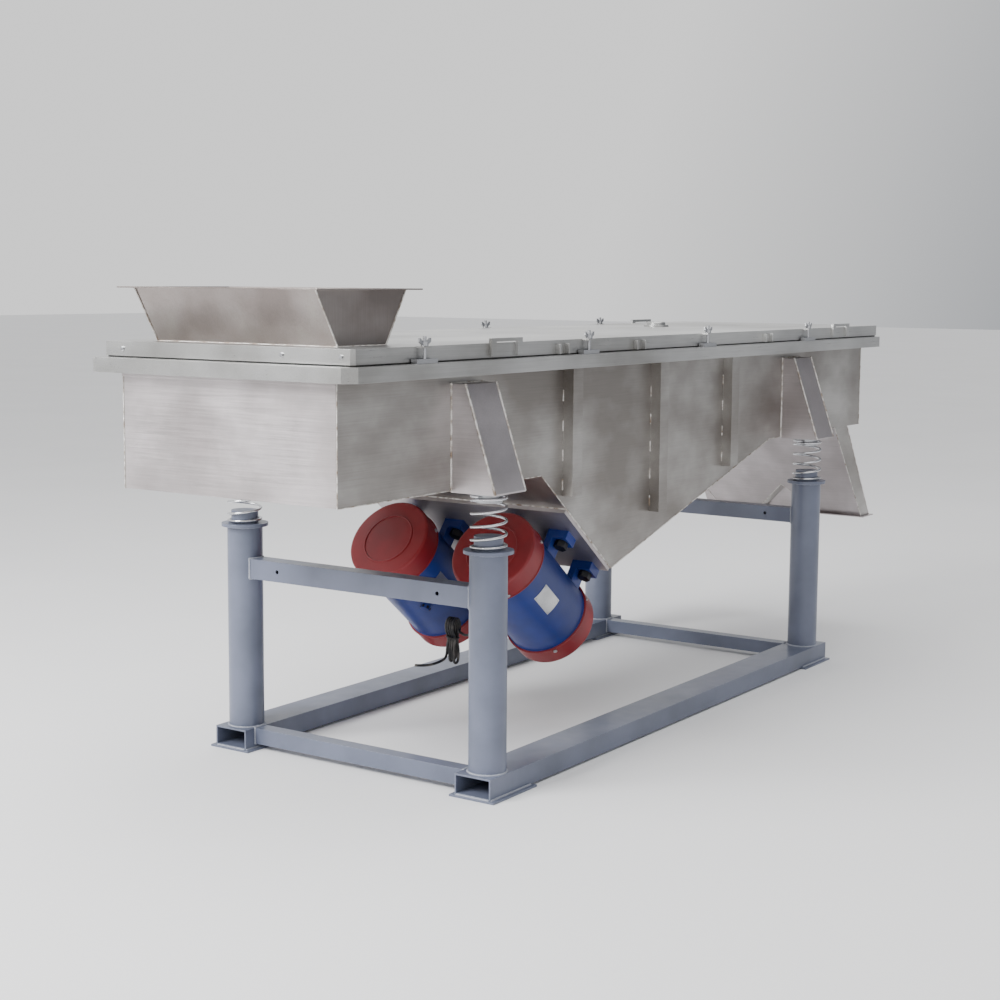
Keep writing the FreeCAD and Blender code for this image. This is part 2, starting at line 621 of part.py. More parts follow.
def chute_sides():
    """The near side, the bent far side and the ridge over the notch, all between two sheets."""
    width = "chute_back_low_x - chute_top_x"
    near = (("-box_width / 2", "box_bottom_z"), ("-box_width / 2", "chute_low_z"),
            ("sheet_thick - box_width / 2", "chute_low_z"),
            ("sheet_thick - box_width / 2", "box_bottom_z"))
    far = (("box_width / 2", "box_bottom_z"), ("box_width / 2", "chute_taper_z"),
           ("chute_far_y", "chute_low_z"), ("chute_far_y - sheet_thick", "chute_low_z"),
           ("inner_half", "chute_taper_z"), ("inner_half", "box_bottom_z"))
    near_foot, far_foot = "(spout_width - box_width / 2)", "(chute_far_y - spout_width)"
    ridge = (("notch_peak_y", "notch_peak_z"), (near_foot, "chute_low_z"),
             (f"{near_foot} - sheet_thick", "chute_low_z"),
             ("notch_peak_y", "notch_peak_z + 2 * sheet_thick"),
             (f"{far_foot} + sheet_thick", "chute_low_z"), (far_foot, "chute_low_z"))
    sheets = []
    for name, corners in (("near_side", near), ("far_side", far), ("ridge", ridge)):
        body = new_body(f"chute_{name}")
        sketch = new_sketch(body, "YZ", lift="chute_top_x")
        outline(sketch, corners)
        pad(body, sketch, width)
        between_sheets(body)
        sheets.append(body)
    joined("chute_sides", sheets)


def spout_lips():
    """A flat collar round each of the two outlets."""
    lips = []
    rows = (("near", "-box_width / 2", "spout_width - box_width / 2"),
            ("far", "chute_far_y - spout_width", "chute_far_y"))
    for side, y0, y1 in rows:
        body = new_body(f"lip_{side}", x="chute_low_x", z="chute_low_z - sheet_thick")
        sketch = new_sketch(body)
        box_outline(sketch, "-spout_lip", "chute_low_depth + spout_lip",
                    f"{y0} - spout_lip", f"{y1} + spout_lip")
        box_outline(sketch, "sheet_thick", "chute_low_depth - sheet_thick",
                    f"{y0} + sheet_thick", f"{y1} - sheet_thick")
        pad(body, sketch, "sheet_thick")
        lips.append(body)
    joined("spout_lips", lips)


# ---------------------------------------------------------------- vibration motors
def on_slope(label, along, y):
    """A body on the motor seat: X runs down the slope, Z points square to it, into the belly."""
    return new_body(label, y=y, turn="belly_angle",
                    x=f"belly_start_x + ({along}) * cos(belly_angle)",
                    z=f"box_bottom_z - ({along}) * sin(belly_angle)")


def motor_body(label, sign):
    """A body with its origin in the middle of one motor and X along that motor's shaft."""
    return new_body(label, x="motor_x", y=f"{sign} * motor_y", z="motor_z", turn="belly_angle")


def motor_seat():
    """A thick plate under the belly's steep side, drilled for both motors' feet."""
    body = on_slope("motor_seat_plate", "0", "0")
    sketch = new_sketch(body, lift="-seat_plate_thick")
    box_outline(sketch, "seat_plate_from", "belly_slope_length - seat_plate_short",
                "-box_width / 2", "box_width / 2")
    pad(body, sketch, "seat_plate_thick")
    holes = new_sketch(body)
    for sign in (-1, 1):
        for along in ("foot_pad_first", "foot_pad_second"):
            for way in (-1, 1):
                ring(holes, "motor_bolt + 2 * run_gap", x=f"motor_along + {along}",
                     y=f"{sign} * motor_y + {way} * foot_pad_y")
    pocket(body, holes)


def motor_housing(side, sign):
    """The cast casing with its stator, two bearing shields, four feet and a cable boss."""
    body = motor_body(f"motor_housing_{side}", sign)
    sketch = new_sketch(body, "XZ")
    inside = "(motor_body_half - shield_thick)"
    spigot = "(motor_body_half + spigot_long)"
    outline(sketch, (("-motor_body_half", "bearing_outer"), ("-motor_body_half", "spigot_inner"),
                     (f"-{spigot}", "spigot_inner"), (f"-{spigot}", "cover_inner"),
                     ("-motor_body_half", "cover_inner"), ("-motor_body_half", "motor_body_radius"),
                     ("motor_body_half", "motor_body_radius"), ("motor_body_half", "cover_inner"),
                     (spigot, "cover_inner"), (spigot, "spigot_inner"),
                     ("motor_body_half", "spigot_inner"), ("motor_body_half", "bearing_outer"),
                     (inside, "bearing_outer"), (inside, "cavity_radius"),
                     ("stator_half", "cavity_radius"), ("stator_half", "stator_radius"),
                     ("-stator_half", "stator_radius"), ("-stator_half", "cavity_radius"),
                     (f"-{inside}", "cavity_radius"), (f"-{inside}", "bearing_outer")))
    revolve(body, sketch, "H_Axis")
    for along in ("foot_pad_first", "foot_pad_second"):
        for way in (-1, 1):
            web = new_sketch(body, lift="foot_web_low")
            box_outline(web, f"{along} - foot_pad_length / 2", f"{along} + foot_pad_length / 2",
                        f"{way} * (foot_web_y - foot_web_width / 2)",
                        f"{way} * (foot_web_y + foot_web_width / 2)")
            pad(body, web, "motor_foot_height - foot_web_low")
            foot = new_sketch(body, lift="motor_foot_height - foot_pad_thick")
            box_outline(foot, f"{along} - foot_pad_length / 2", f"{along} + foot_pad_length / 2",
                        f"{way} * (foot_pad_y - foot_pad_width / 2)",
                        f"{way} * (foot_pad_y + foot_pad_width / 2)")
            pad(body, foot, "foot_pad_thick")
    holes = new_sketch(body, lift="motor_foot_height - foot_pad_thick")
    for along in ("foot_pad_first", "foot_pad_second"):
        for way in (-1, 1):
            ring(holes, "motor_bolt + 2 * run_gap", x=along, y=f"{way} * foot_pad_y")
    pocket(body, holes, "foot_pad_thick", backwards=True)
    gland = new_sketch(body, lift="-gland_face")
    ring(gland, "gland_diameter", x="gland_along", y=f"-{sign} * gland_off")
    pad(body, gland, "gland_face - sqrt(motor_body_radius ^ 2 - (gland_off + gland_diameter / 2) ^ 2)"
                     " + cover_wall")


def motor_covers():
    """A deep cup with a softened edge over the weights at each end of each motor."""
    cups = []
    for side, sign in SIDES:
        for end, way in (("upper", -1), ("lower", 1)):
            body = motor_body(f"cup_{side}_{end}", sign)
            sketch = new_sketch(body, "XZ")
            rim, floor = f"{way} * motor_body_half", f"{way} * (motor_body_half + cover_length)"
            outline(sketch, ((rim, "cover_inner"), (rim, "cover_radius"),
                             (f"{floor} - {way} * cover_edge", "cover_radius"),
                             (f"{floor} - {way} * cover_edge * (1 - sin(45))",
                              "cover_radius - cover_edge * (1 - sin(45))"),
                             (floor, "cover_radius - cover_edge"), (floor, "0"),
                             (f"{floor} - {way} * cover_wall", "0"),
                             (f"{floor} - {way} * cover_wall", "cover_radius - cover_edge"),
                             (f"{floor} - {way} * cover_edge", "cover_inner")))
            revolve(body, sketch, "H_Axis")
            cups.append(body)
    joined("motor_covers", cups)


def motor_rotor(side, sign):
    """The shaft with its laminated core, and a pair of eccentric weights keyed to its ends."""
    body = motor_body(f"rotor_{side}", sign)
    sketch = new_sketch(body, "XZ")
    core = "stator_radius - air_gap"
    outline(sketch, (("-shaft_half", "0"), ("-shaft_half", "shaft_radius"),
                     ("-core_half", "shaft_radius"), ("-core_half", core), ("core_half", core),
                     ("core_half", "shaft_radius"), ("shaft_half", "shaft_radius"),
                     ("shaft_half", "0")))
    revolve(body, sketch, "H_Axis")
    weights = []
    for end, way in (("upper", -1), ("lower", 1)):
        body = motor_body(f"weight_{side}_{end}", sign)
        sketch = new_sketch(body, "YZ", lift=f"{way} * (weight_from + weight_thick / 2)")
        hub, reach = "weight_hub", "weight_radius"
        rim = [(f"{reach} * cos({angle})", f"-{reach} * sin({angle})") for angle in range(15, 180, 15)]
        outline(sketch, [(hub, hub), (hub, "0"), (reach, "0")] + rim
                + [(f"-{reach}", "0"), (f"-{hub}", "0"), (f"-{hub}", hub)])
        ring(sketch, "2 * shaft_radius")
        pad(body, sketch, "weight_thick", symmetric=True)
        weights.append(body)
    joined(f"eccentric_weights_{side}", weights)


def motor_bearings():
    """Four rolling bearings pressed into the shields, a running fit on the shafts."""
    rings = []
    for side, sign in SIDES:
        for end, way in (("upper", -1), ("lower", 1)):
            body = motor_body(f"bearing_{side}_{end}", sign)
            sketch = new_sketch(body, "YZ", lift=f"{way} * (motor_body_half - shield_thick / 2)")
            ring(sketch, "2 * bearing_outer")
            ring(sketch, "2 * (shaft_radius + bearing_gap)")
            pad(body, sketch, "bearing_width", symmetric=True)
            rings.append(body)
    joined("motor_bearings", rings)


def name_plates():
    """A bare curved plate on each casing's near flank."""
    plates = []
    for side, sign in SIDES:
        body = motor_body(f"plate_{side}", sign)
        sketch = new_sketch(body, "XY")
        sketch.AttachmentOffset = FreeCAD.Placement(V(), FreeCAD.Rotation(V(1, 0, 0), 1))
        sketch.setExpression("AttachmentOffset.Rotation.Angle", formula("plate_turn"))
        box_outline(sketch, "plate_along - plate_long / 2", "plate_along + plate_long / 2",
                    "-motor_body_radius - run_gap", "-motor_body_radius - run_gap - plate_thin")
        feature = revolve(body, sketch, "H_Axis")
        feature.Midplane = True
        feature.setExpression("Angle", formula("plate_wide / motor_body_radius * 180 / pi"))
        plates.append(body)
    joined("name_plates", plates)


def motor_bolts():
    """Eight hexagon bolts with washers, up through the feet into the seat plate."""
    bolts = []
    head_top = "motor_foot_height - foot_pad_thick - washer_thick"
    for side, sign in SIDES:
        for along in ("foot_pad_first", "foot_pad_second"):
            for way in (-1, 1):
                body = motor_body(f"bolt_{side}_{along}_{way + 1}", sign)
                y = f"{way} * foot_pad_y"
                sketch = new_sketch(body, lift=f"{head_top} - bolt_head_tall")
                corner = "bolt_head_across / sqrt(3)"
                outline(sketch, [(f"{along} + {corner} * cos({turn})", f"{y} + {corner} * sin({turn})")
                                 for turn in range(0, 360, 60)])
                pad(body, sketch, "bolt_head_tall")
                washer = new_sketch(body, lift=head_top)
                ring(washer, "washer_diameter", x=along, y=y)
                pad(body, washer, "washer_thick")
                shank = new_sketch(body, lift=head_top)
                ring(shank, "motor_bolt", x=along, y=y)
                pad(body, shank, "motor_drop - (" + head_top + ")")
                bolts.append(body)
    joined("motor_bolts", bolts)


# ---------------------------------------------------------------- lid
def soft_outline(sketch, x0, x1, half, cut):
    """A rectangle in plan with its four corners cut."""
    outline(sketch, ((f"{x0} + {cut}", f"-({half})"), (f"{x1} - {cut}", f"-({half})"),
                     (x1, f"{cut} - ({half})"), (x1, f"{half} - {cut}"),
                     (f"{x1} - {cut}", half), (f"{x0} + {cut}", half),
                     (x0, f"{half} - {cut}"), (x0, f"{cut} - ({half})")))


def lid():
    """A folded tray, open below, with a turned-in lip, a gasket under it and a feed opening."""
    body = new_body("lid", z="lid_low_z")
    sketch = new_sketch(body)
    corner = "lid_corner"
    soft_outline(sketch, "lid_feed_x", "lid_out_x", "lid_half", corner)
    pad(body, sketch, "lid_height")
    hollow = new_sketch(body)
    soft_outline(hollow, "lid_feed_x + lid_sheet", "lid_out_x - lid_sheet", "lid_half - lid_sheet",
                 corner)
    pocket(body, hollow, "lid_height - lid_sheet", backwards=True)
    lip = new_sketch(body)
    soft_outline(lip, "lid_feed_x + lid_sheet / 2", "lid_out_x - lid_sheet / 2",
                 "lid_half - lid_sheet / 2", corner)
    box_outline(lip, "lid_feed_x + lid_lip", "lid_out_x - lid_lip", "lid_lip - lid_half",
                "lid_half - lid_lip")
    pad(body, lip, "lid_sheet")
    throat = new_sketch(body)
    box_outline(throat, "hopper_feed_x + hopper_sheet", "hopper_feed_x + hopper_length - hopper_sheet",
                "hopper_sheet - hopper_width / 2", "hopper_width / 2 - hopper_sheet")
    pocket(body, throat)
    body = new_body("lid_gasket", z="rail_top_z + run_gap")
    sketch = new_sketch(body)
    edge = "(lid_lip - gasket_wide)"
    soft_outline(sketch, f"lid_feed_x + {edge}", f"lid_out_x - {edge}", f"lid_half - {edge}", corner)
    box_outline(sketch, "lid_feed_x + lid_lip", "lid_out_x - lid_lip", "lid_lip - lid_half",
                "lid_half - lid_lip")
    pad(body, sketch, "gasket_thick")


def hopper():
    """A feed hopper with upright sides and flared ends, and a flat flange round its mouth."""
    body = new_body("feed_hopper", x="hopper_feed_x", z="lid_top_z")
    sketch = new_sketch(body, "XZ")
    outline(sketch, (("0", "0"), ("hopper_length", "0"),
                     ("hopper_length + hopper_flare", "hopper_height"),
                     ("-hopper_flare", "hopper_height")))
    pad(body, sketch, "hopper_width", symmetric=True)
    flange = new_sketch(body, lift="hopper_height - hopper_sheet")
    box_outline(flange, "-hopper_flare - hopper_flange", "hopper_length + hopper_flare + hopper_flange",
                "-hopper_width / 2 - hopper_flange", "hopper_width / 2 + hopper_flange")
    pad(body, flange, "hopper_sheet")
    hollow = new_sketch(body, "XZ")
    outline(hollow, (("hopper_sheet", "0"), ("hopper_length - hopper_sheet", "0"),
                     ("hopper_length + hopper_flare - hopper_sheet", "hopper_height"),
                     ("hopper_sheet - hopper_flare", "hopper_height")))
    pocket(body, hollow, "hopper_width - 2 * hopper_sheet", symmetric=True)


def lid_fittings():
    """Strap handles, upright lugs and clamp ears on the lid's sides, and a low domed port on top."""
    straps = []
    lugs = []
    for side, sign in SIDES:
        for x in ("handle_feed_x", "handle_out_x"):
            body = new_body(f"strap_{side}_{x}", x=x, y=f"{sign} * (lid_half + handle_thick / 2)",
                            z="lid_top_z")
            sketch = new_sketch(body, "XZ")
            outer, inner = "handle_span / 2", "(handle_span / 2 - handle_bar)"
            top = "(handle_rise - handle_thick)"
            outline(sketch, ((f"-{outer}", "-handle_drop"), (f"-{inner}", "-handle_drop"),
                             (f"-{inner}", top), (inner, top), (inner, "-handle_drop"),
                             (outer, "-handle_drop"), (outer, "handle_rise"),
                             (f"-{outer}", "handle_rise")))
            pad(body, sketch, "handle_thick", symmetric=True)
            straps.append(body)
        for x in ("lug_one_x", "lug_two_x", "lug_three_x"):
            for way in (-1, 1):
                body = new_body(f"lug_{side}_{x}_{way + 1}", y=f"{sign} * lid_half", z="lid_low_z",
                                x=f"{x} + {way} * (lug_gap + lug_thick) / 2")
                sketch = new_sketch(body)
                box_outline(sketch, "-lug_thick / 2", "lug_thick / 2", "0", f"{sign} * lug_deep")
                pad(body, sketch, "lug_tall")
                lugs.append(body)
    joined("lid_handles", straps)
    body = new_body("lid_port", x="port_x", y="port_y", z="lid_top_z")
    sketch = new_sketch(body, "XZ")
    rim, dome = "port_diameter / 2", "port_dome_diameter / 2"
    outline(sketch, (("0", "0"), (rim, "0"), (rim, "port_rim"), (dome, "port_rim"),
                     (dome, "port_rim + port_dome - port_dome_edge"),
                     (f"{dome} - port_dome_edge", "port_rim + port_dome"),
                     ("0", "port_rim + port_dome")))
    revolve(body, sketch)
    return lugs


# ---------------------------------------------------------------- clamps
CLAMPS = (("one", "clamp_one_x"), ("two", "clamp_two_x"), ("three", "clamp_three_x"),
          ("four", "clamp_four_x"))


def clamps(lugs):
    """Eight clamps: a block and stud on the rail, an ear on the lid, and a wing nut that turns."""
    studs = []
    for side, sign in SIDES:
        for name, x in CLAMPS:
            body = new_body(f"stud_{side}_{name}", x=x, y=f"{sign} * stud_y", z="rail_top_z")
            sketch = new_sketch(body)
            box_outline(sketch, "-clamp_block_long / 2", "clamp_block_long / 2",
                        "-clamp_block_wide / 2", "clamp_block_wide / 2")
            pad(body, sketch, "clamp_block_tall")
            sketch = new_sketch(body)
            ring(sketch, "stud_diameter")
            pad(body, sketch, "stud_tall")
            studs.append(body)
            ear = new_body(f"ear_{side}_{name}", x=x, y=f"{sign} * lid_half",
                           z="rail_top_z + ear_level")
            sketch = new_sketch(ear)
            box_outline(sketch, "-ear_wide / 2", "ear_wide / 2", "0",
                        f"{sign} * (clamp_out + clamp_block_wide / 2)")
            ring(sketch, "ear_hole", y=f"{sign} * clamp_out")
            pad(ear, sketch, "ear_thick")
            lugs.append(ear)
            wing_nut(f"wing_nut_{side}_{name}", x, f"{sign} * stud_y")
    joined("clamp_studs", studs)
    joined("lid_lugs", lugs)


def wing_nut(label, x, y):
    """A round hub with two upswept wings, bored for the stud."""
    body = new_body(label, x=x, y=y, z="rail_top_z + ear_level + ear_thick + run_gap")
    sketch = new_sketch(body)
    ring(sketch, "nut_hub")
    pad(body, sketch, "nut_hub_tall")
    wings = new_sketch(body, "XZ")
    tip, root = "nut_span / 2", "nut_root"
    outline(wings, ((f"-{root}", "0"), (root, "0"), (tip, "wing_tall / 2"), (tip, "wing_tall"),
                    (f"{tip} - wing_thick", "wing_tall"), (root, "nut_hub_tall"),
                    (f"-{root}", "nut_hub_tall"), (f"wing_thick - {tip}", "wing_tall"),
                    (f"-{tip}", "wing_tall"), (f"-{tip}", "wing_tall / 2")))
    pad(body, wings, "wing_thick", symmetric=True)
    bore = new_sketch(body)
    ring(bore, "stud_diameter + 2 * thread_gap")
    pocket(body, bore)


# ---------------------------------------------------------------- supply cable
# corners of the two loose stretches, from the top of the hank: the lead ends in the knot,
# the tail starts in the hank and is cut off square
LEAD_ROUTE = ((-12, -74, -33), (-12, -48, -43), (-4, -23, -36))
TAIL_ROUTE = ((-16, 2, -104), (-46, 4, -110), (-78, 7, -113), (-110, 11, -111), (-140, 16, -105))


def cable():
    """The lead from the near motor's gland, the tied hank that hangs below it and its loose tail."""
    angle = math.radians(number("belly_angle"))
    down = V(-math.sin(angle), 0, -math.cos(angle))
    along = V(math.cos(angle), 0, -math.sin(angle))
    motor = V(number("motor_x"), -number("motor_y"), number("motor_z"))
    exit_point = motor + along * number("gland_along") + down * number("gland_face")
    exit_point.y += number("gland_off")
    hank = V(number("hank_x"), number("hank_y"), number("hank_top_z"))
    first_run = down * number("lead_first_run")
    size = number("cable_diameter")
    round_wire("cable_lead", [exit_point, exit_point + first_run] + [hank + V(*p) for p in LEAD_ROUTE],
               size)
    round_wire("cable_tail", [hank + V(*p) for p in TAIL_ROUTE], size)
    body = new_body("cable_hank", x="hank_x", y="hank_y", z="hank_top_z")
    sketch = new_sketch(body, "XZ")
    neck_z, low = "-knot_tall", "-knot_tall - hank_tall"
    outline(sketch, (("0", "0"), ("knot_radius / 2", "0"), ("knot_radius", "-knot_tall / 4"),
                     ("knot_radius", "-knot_tall * 3 / 4"), ("hank_neck", neck_z),
                     ("hank_radius", f"{neck_z} - hank_tall / 4"),
                     ("hank_radius", f"{low} + hank_tall / 4"), ("hank_radius / 2", low), ("0", low)))
    revolve(body, sketch)


def build():
    """Make every sub-part."""
    long_tubes()
    cross_tubes()
    foot_plates()
    posts()
    upper_beams()
    springs()
    trough_plates()
    spring_brackets()
    ribs()
    top_rail()
    sieve_deck()
    chute()
    motor_seat()
    for side, sign in SIDES:
        motor_housing(side, sign)
        motor_rotor(side, sign)
    motor_covers()
    motor_bearings()
    name_plates()
    motor_bolts()
    lid()
    hopper()
    clamps(lid_fittings())
    cable()


def check_and_write():
    """Stop on any failed object or bad shape, then write one file for each node."""
    doc.recompute()
    failed = [o.Label for o in doc.Objects if {"Invalid", "Error"} & set(o.State)]
    if failed:
        raise RuntimeError(f"failed objects: {failed}")
    for label, body in bodies.items():
        if body.Shape.isNull() or not body.Shape.isValid() or not body.Shape.Solids:
            raise RuntimeError(f"bad shape: {label}")
    os.makedirs("parts", exist_ok=True)
    for label, body in bodies.items():
        body.Shape.exportStep(f"parts/{label}.step")
    print(len(bodies), "nodes written")


build()
check_and_write()
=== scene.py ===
"""Looks of a linear vibrating sieve: finishes, welds, fasteners, wire cloth, springs and cable."""

import logging
import math
from dataclasses import dataclass, field
from enum import Enum

import bpy
import bmesh
from mathutils import Matrix, Vector


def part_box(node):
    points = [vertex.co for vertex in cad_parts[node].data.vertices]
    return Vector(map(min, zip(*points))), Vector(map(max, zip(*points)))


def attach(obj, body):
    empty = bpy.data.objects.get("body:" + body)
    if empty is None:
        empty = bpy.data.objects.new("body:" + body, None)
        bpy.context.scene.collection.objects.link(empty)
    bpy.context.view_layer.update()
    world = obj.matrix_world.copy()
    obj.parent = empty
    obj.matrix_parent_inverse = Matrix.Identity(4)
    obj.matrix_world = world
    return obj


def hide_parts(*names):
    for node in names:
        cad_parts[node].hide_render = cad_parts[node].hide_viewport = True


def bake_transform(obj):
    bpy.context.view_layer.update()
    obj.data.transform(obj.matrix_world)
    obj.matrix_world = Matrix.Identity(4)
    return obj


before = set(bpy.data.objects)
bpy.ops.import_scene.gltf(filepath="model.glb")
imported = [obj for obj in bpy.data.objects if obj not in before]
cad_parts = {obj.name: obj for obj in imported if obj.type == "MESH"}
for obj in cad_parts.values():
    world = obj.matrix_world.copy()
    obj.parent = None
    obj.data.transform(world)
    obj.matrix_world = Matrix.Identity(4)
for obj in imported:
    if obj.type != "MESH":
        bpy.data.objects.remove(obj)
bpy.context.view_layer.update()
LOG = logging.getLogger("sieve")
MM = 0.001
BEAD_PITCH = 1.15
ROUND_SIDES = 8
Point = tuple[float, float, float]
Route = list[Point]


# ---------------------------------------------------------------- colours and nodes
def linear(code: str) -> tuple[float, float, float, float]:
    """Turn an sRGB hex colour into Blender's linear colour.

    Args:
        code: six hex digits, with or without a leading hash.
    Returns:
        Linear red, green, blue and an alpha of one.
    """
    code = code.lstrip("#")
    parts = [int(code[i:i + 2], 16) / 255 for i in (0, 2, 4)]
    return tuple(c / 12.92 if c <= 0.04045 else ((c + 0.055) / 1.055) ** 2.4 for c in parts) + (1.0,)


def add(tree: bpy.types.NodeTree, kind: str, inputs: dict | None = None, **settings) -> bpy.types.Node:
    """Add a node with its settings, values and links.

    Args:
        tree: the node tree that gets the node.
        kind: Blender's node type name.
        inputs: a value or an output socket for each input, by its name or place.
        settings: properties of the node itself.
    Returns:
        The new node.
    """
    node = tree.nodes.new(kind)
    for name, value in settings.items():
        setattr(node, name, value)
    for key, value in (inputs or {}).items():
        if isinstance(value, bpy.types.NodeSocket):
            tree.links.new(value, node.inputs[key])
        else:
            node.inputs[key].default_value = value
    return node


def ramp(tree: bpy.types.NodeTree, factor: bpy.types.NodeSocket,
         stops: list[tuple[float, tuple]]) -> bpy.types.NodeSocket:
    """Add a colour ramp.

    Args:
        tree: the node tree.
        factor: what drives the ramp.
        stops: positions and linear colours, low to high.
    Returns:
        The ramp's colour output.
    """
    node = add(tree, "ShaderNodeValToRGB", {"Fac": factor})
    points = node.color_ramp.elements
    while len(points) < len(stops):
        points.new(0.5)
    for point, (place, colour) in zip(points, stops):
        point.position = place
        point.color = colour
    return node.outputs["Color"]


def grey(value: float) -> tuple[float, float, float, float]:
    """A linear grey."""
    return (value, value, value, 1.0)


@dataclass(frozen=True)
class Finish:
    """A material whose look is worked out from real sizes; subclasses say how it is made."""

    name: str

    def make(self) -> bpy.types.Material:
        """Build the material, or hand back the one already built.

        Returns:
            The finished material.
        """
        known = bpy.data.materials.get(self.name)
        if known is not None:
            return known
        material = bpy.data.materials.new(self.name)
        material.use_nodes = True
        tree = material.node_tree
        tree.nodes.clear()
        shader = add(tree, "ShaderNodeBsdfPrincipled")
        output = add(tree, "ShaderNodeOutputMaterial")
        tree.links.new(shader.outputs["BSDF"], output.inputs["Surface"])
        self.dress(tree, shader)
        return material

    def dress(self, tree: bpy.types.NodeTree, shader: bpy.types.Node) -> None:
        """Fill in the shader; each finish has its own way."""

    def grain(self, tree: bpy.types.NodeTree, size_mm: float, detail: float = 3.0,
              stretch: Point = (1.0, 1.0, 1.0)) -> bpy.types.NodeSocket:
        """Noise whose features are about one size across.

        Args:
            tree: the node tree.
            size_mm: the size of a feature in millimetres.
            detail: how much finer structure it carries.
            stretch: how many times longer a feature is along each axis.
        Returns:
            The noise factor.
        """
        place = add(tree, "ShaderNodeTexCoord").outputs["Object"]
        scaled = add(tree, "ShaderNodeMapping", {"Vector": place, "Scale": tuple(1 / s for s in stretch)})
        noise = add(tree, "ShaderNodeTexNoise", {"Vector": scaled.outputs["Vector"],
                                                 "Scale": 1 / (size_mm * MM), "Detail": detail})
        return noise.outputs["Fac"]

    def worn_edges(self, tree: bpy.types.NodeTree, radius_mm: float) -> bpy.types.NodeSocket:
        """A mask that is bright only where two faces meet.

        Args:
            tree: the node tree.
            radius_mm: how far from the edge it reaches.
        Returns:
            A value from zero on a flat face towards one on an edge.
        """
        soft = add(tree, "ShaderNodeBevel", {"Radius": radius_mm * MM}, samples=4).outputs["Normal"]
        hard = add(tree, "ShaderNodeNewGeometry").outputs["Normal"]
        same = add(tree, "ShaderNodeVectorMath", {0: soft, 1: hard}, operation="DOT_PRODUCT")
        return add(tree, "ShaderNodeMapRange", {"Value": same.outputs["Value"], "From Min": 0.995,
                                                "From Max": 0.80, "To Min": 0.0, "To Max": 1.0}
                   ).outputs["Result"]


@dataclass(frozen=True)
class Enamel(Finish):
    """Sprayed and baked enamel over steel: an even colour, faint orange peel, pale rubbed edges."""

    colour: str = "#8A8E9B"
    shade: str = "#7C808D"
    rubbed: str = "#B4B7C0"
    roughness: float = 0.38
    peel_mm: float = 2.2
    peel_depth: float = 0.05
    coat: float = 0.15
    edge_mm: float = 1.8

    def dress(self, tree: bpy.types.NodeTree, shader: bpy.types.Node) -> None:
        """Cloudy colour a hand wide, a peel of a couple of millimetres and worn edges."""
        cloud = self.grain(tree, 160, 4.0)
        base = ramp(tree, cloud, [(0.35, linear(self.shade)), (0.62, linear(self.colour))])
        speck = self.grain(tree, 9, 6.0)
        mask = add(tree, "ShaderNodeMath", {0: self.worn_edges(tree, self.edge_mm),
                                            1: ramp(tree, speck, [(0.42, grey(0)), (0.60, grey(1))])},
                   operation="MULTIPLY").outputs["Value"]
        colour = add(tree, "ShaderNodeMix", {"Factor": mask, 6: base, 7: linear(self.rubbed)},
                     data_type="RGBA")
        tree.links.new(colour.outputs[2], shader.inputs["Base Color"])
        gloss = add(tree, "ShaderNodeMapRange", {"Value": self.grain(tree, 45, 4.0),
                                                 "To Min": self.roughness - 0.07,
                                                 "To Max": self.roughness + 0.09})
        tree.links.new(gloss.outputs["Result"], shader.inputs["Roughness"])
        soft = add(tree, "ShaderNodeBevel", {"Radius": self.edge_mm * MM}, samples=4)
        bump = add(tree, "ShaderNodeBump", {"Height": self.grain(tree, self.peel_mm, 2.0),
                                            "Strength": self.peel_depth, "Distance": 0.5 * MM,
                                            "Normal": soft.outputs["Normal"]})
        tree.links.new(bump.outputs["Normal"], shader.inputs["Normal"])
        shader.inputs["Coat Weight"].default_value = self.coat
        shader.inputs["Coat Roughness"].default_value = 0.12


@dataclass(frozen=True)
class SheetSteel(Finish):
    """Cold-rolled stainless sheet, brushed one way: soft streaked gloss with cloudy paler patches."""

    colour: str = "#A39F9B"
    pale: str = "#C2C0BD"
    dull: str = "#8C8782"
    roughness: float = 0.36
    brushed_along: Point = (60.0, 1.0, 1.0)
    brush_mm: float = 2.4
    patch_mm: float = 210.0
    metallic: float = 0.9

    def dress(self, tree: bpy.types.NodeTree, shader: bpy.types.Node) -> None:
        """Streaks along the rolling direction over patches where the passivation wiped paler."""
        patches = ramp(tree, self.grain(tree, self.patch_mm, 5.0, (1.6, 1.0, 1.0)),
                       [(0.36, linear(self.dull)), (0.50, linear(self.colour)), (0.66, linear(self.pale))])
        streaks = self.grain(tree, self.brush_mm, 3.0, self.brushed_along)
        tone = ramp(tree, streaks, [(0.30, grey(0.82)), (0.70, grey(1.0))])
        colour = add(tree, "ShaderNodeMix", {"Factor": 0.8, 6: patches, 7: tone}, data_type="RGBA",
                     blend_type="MULTIPLY")
        tree.links.new(colour.outputs[2], shader.inputs["Base Color"])
        shader.inputs["Metallic"].default_value = self.metallic
        wipe = self.grain(tree, self.patch_mm * 0.55, 4.0)
        mixed = add(tree, "ShaderNodeMath", {0: streaks, 1: wipe}, operation="ADD").outputs["Value"]
        gloss = add(tree, "ShaderNodeMapRange", {"Value": mixed, "From Min": 0.7, "From Max": 1.3,
                                                 "To Min": self.roughness - 0.06,
                                                 "To Max": self.roughness + 0.10})
        tree.links.new(gloss.outputs["Result"], shader.inputs["Roughness"])
        soft = add(tree, "ShaderNodeBevel", {"Radius": 1.2 * MM}, samples=4)
        waves = add(tree, "ShaderNodeBump", {"Height": self.grain(tree, 260, 1.0), "Strength": 0.25,
                                             "Distance": 4 * MM, "Normal": soft.outputs["Normal"]})
        bump = add(tree, "ShaderNodeBump", {"Height": streaks, "Strength": 0.06, "Distance": 0.3 * MM,
                                            "Normal": waves.outputs["Normal"]})
        tree.links.new(bump.outputs["Normal"], shader.inputs["Normal"])


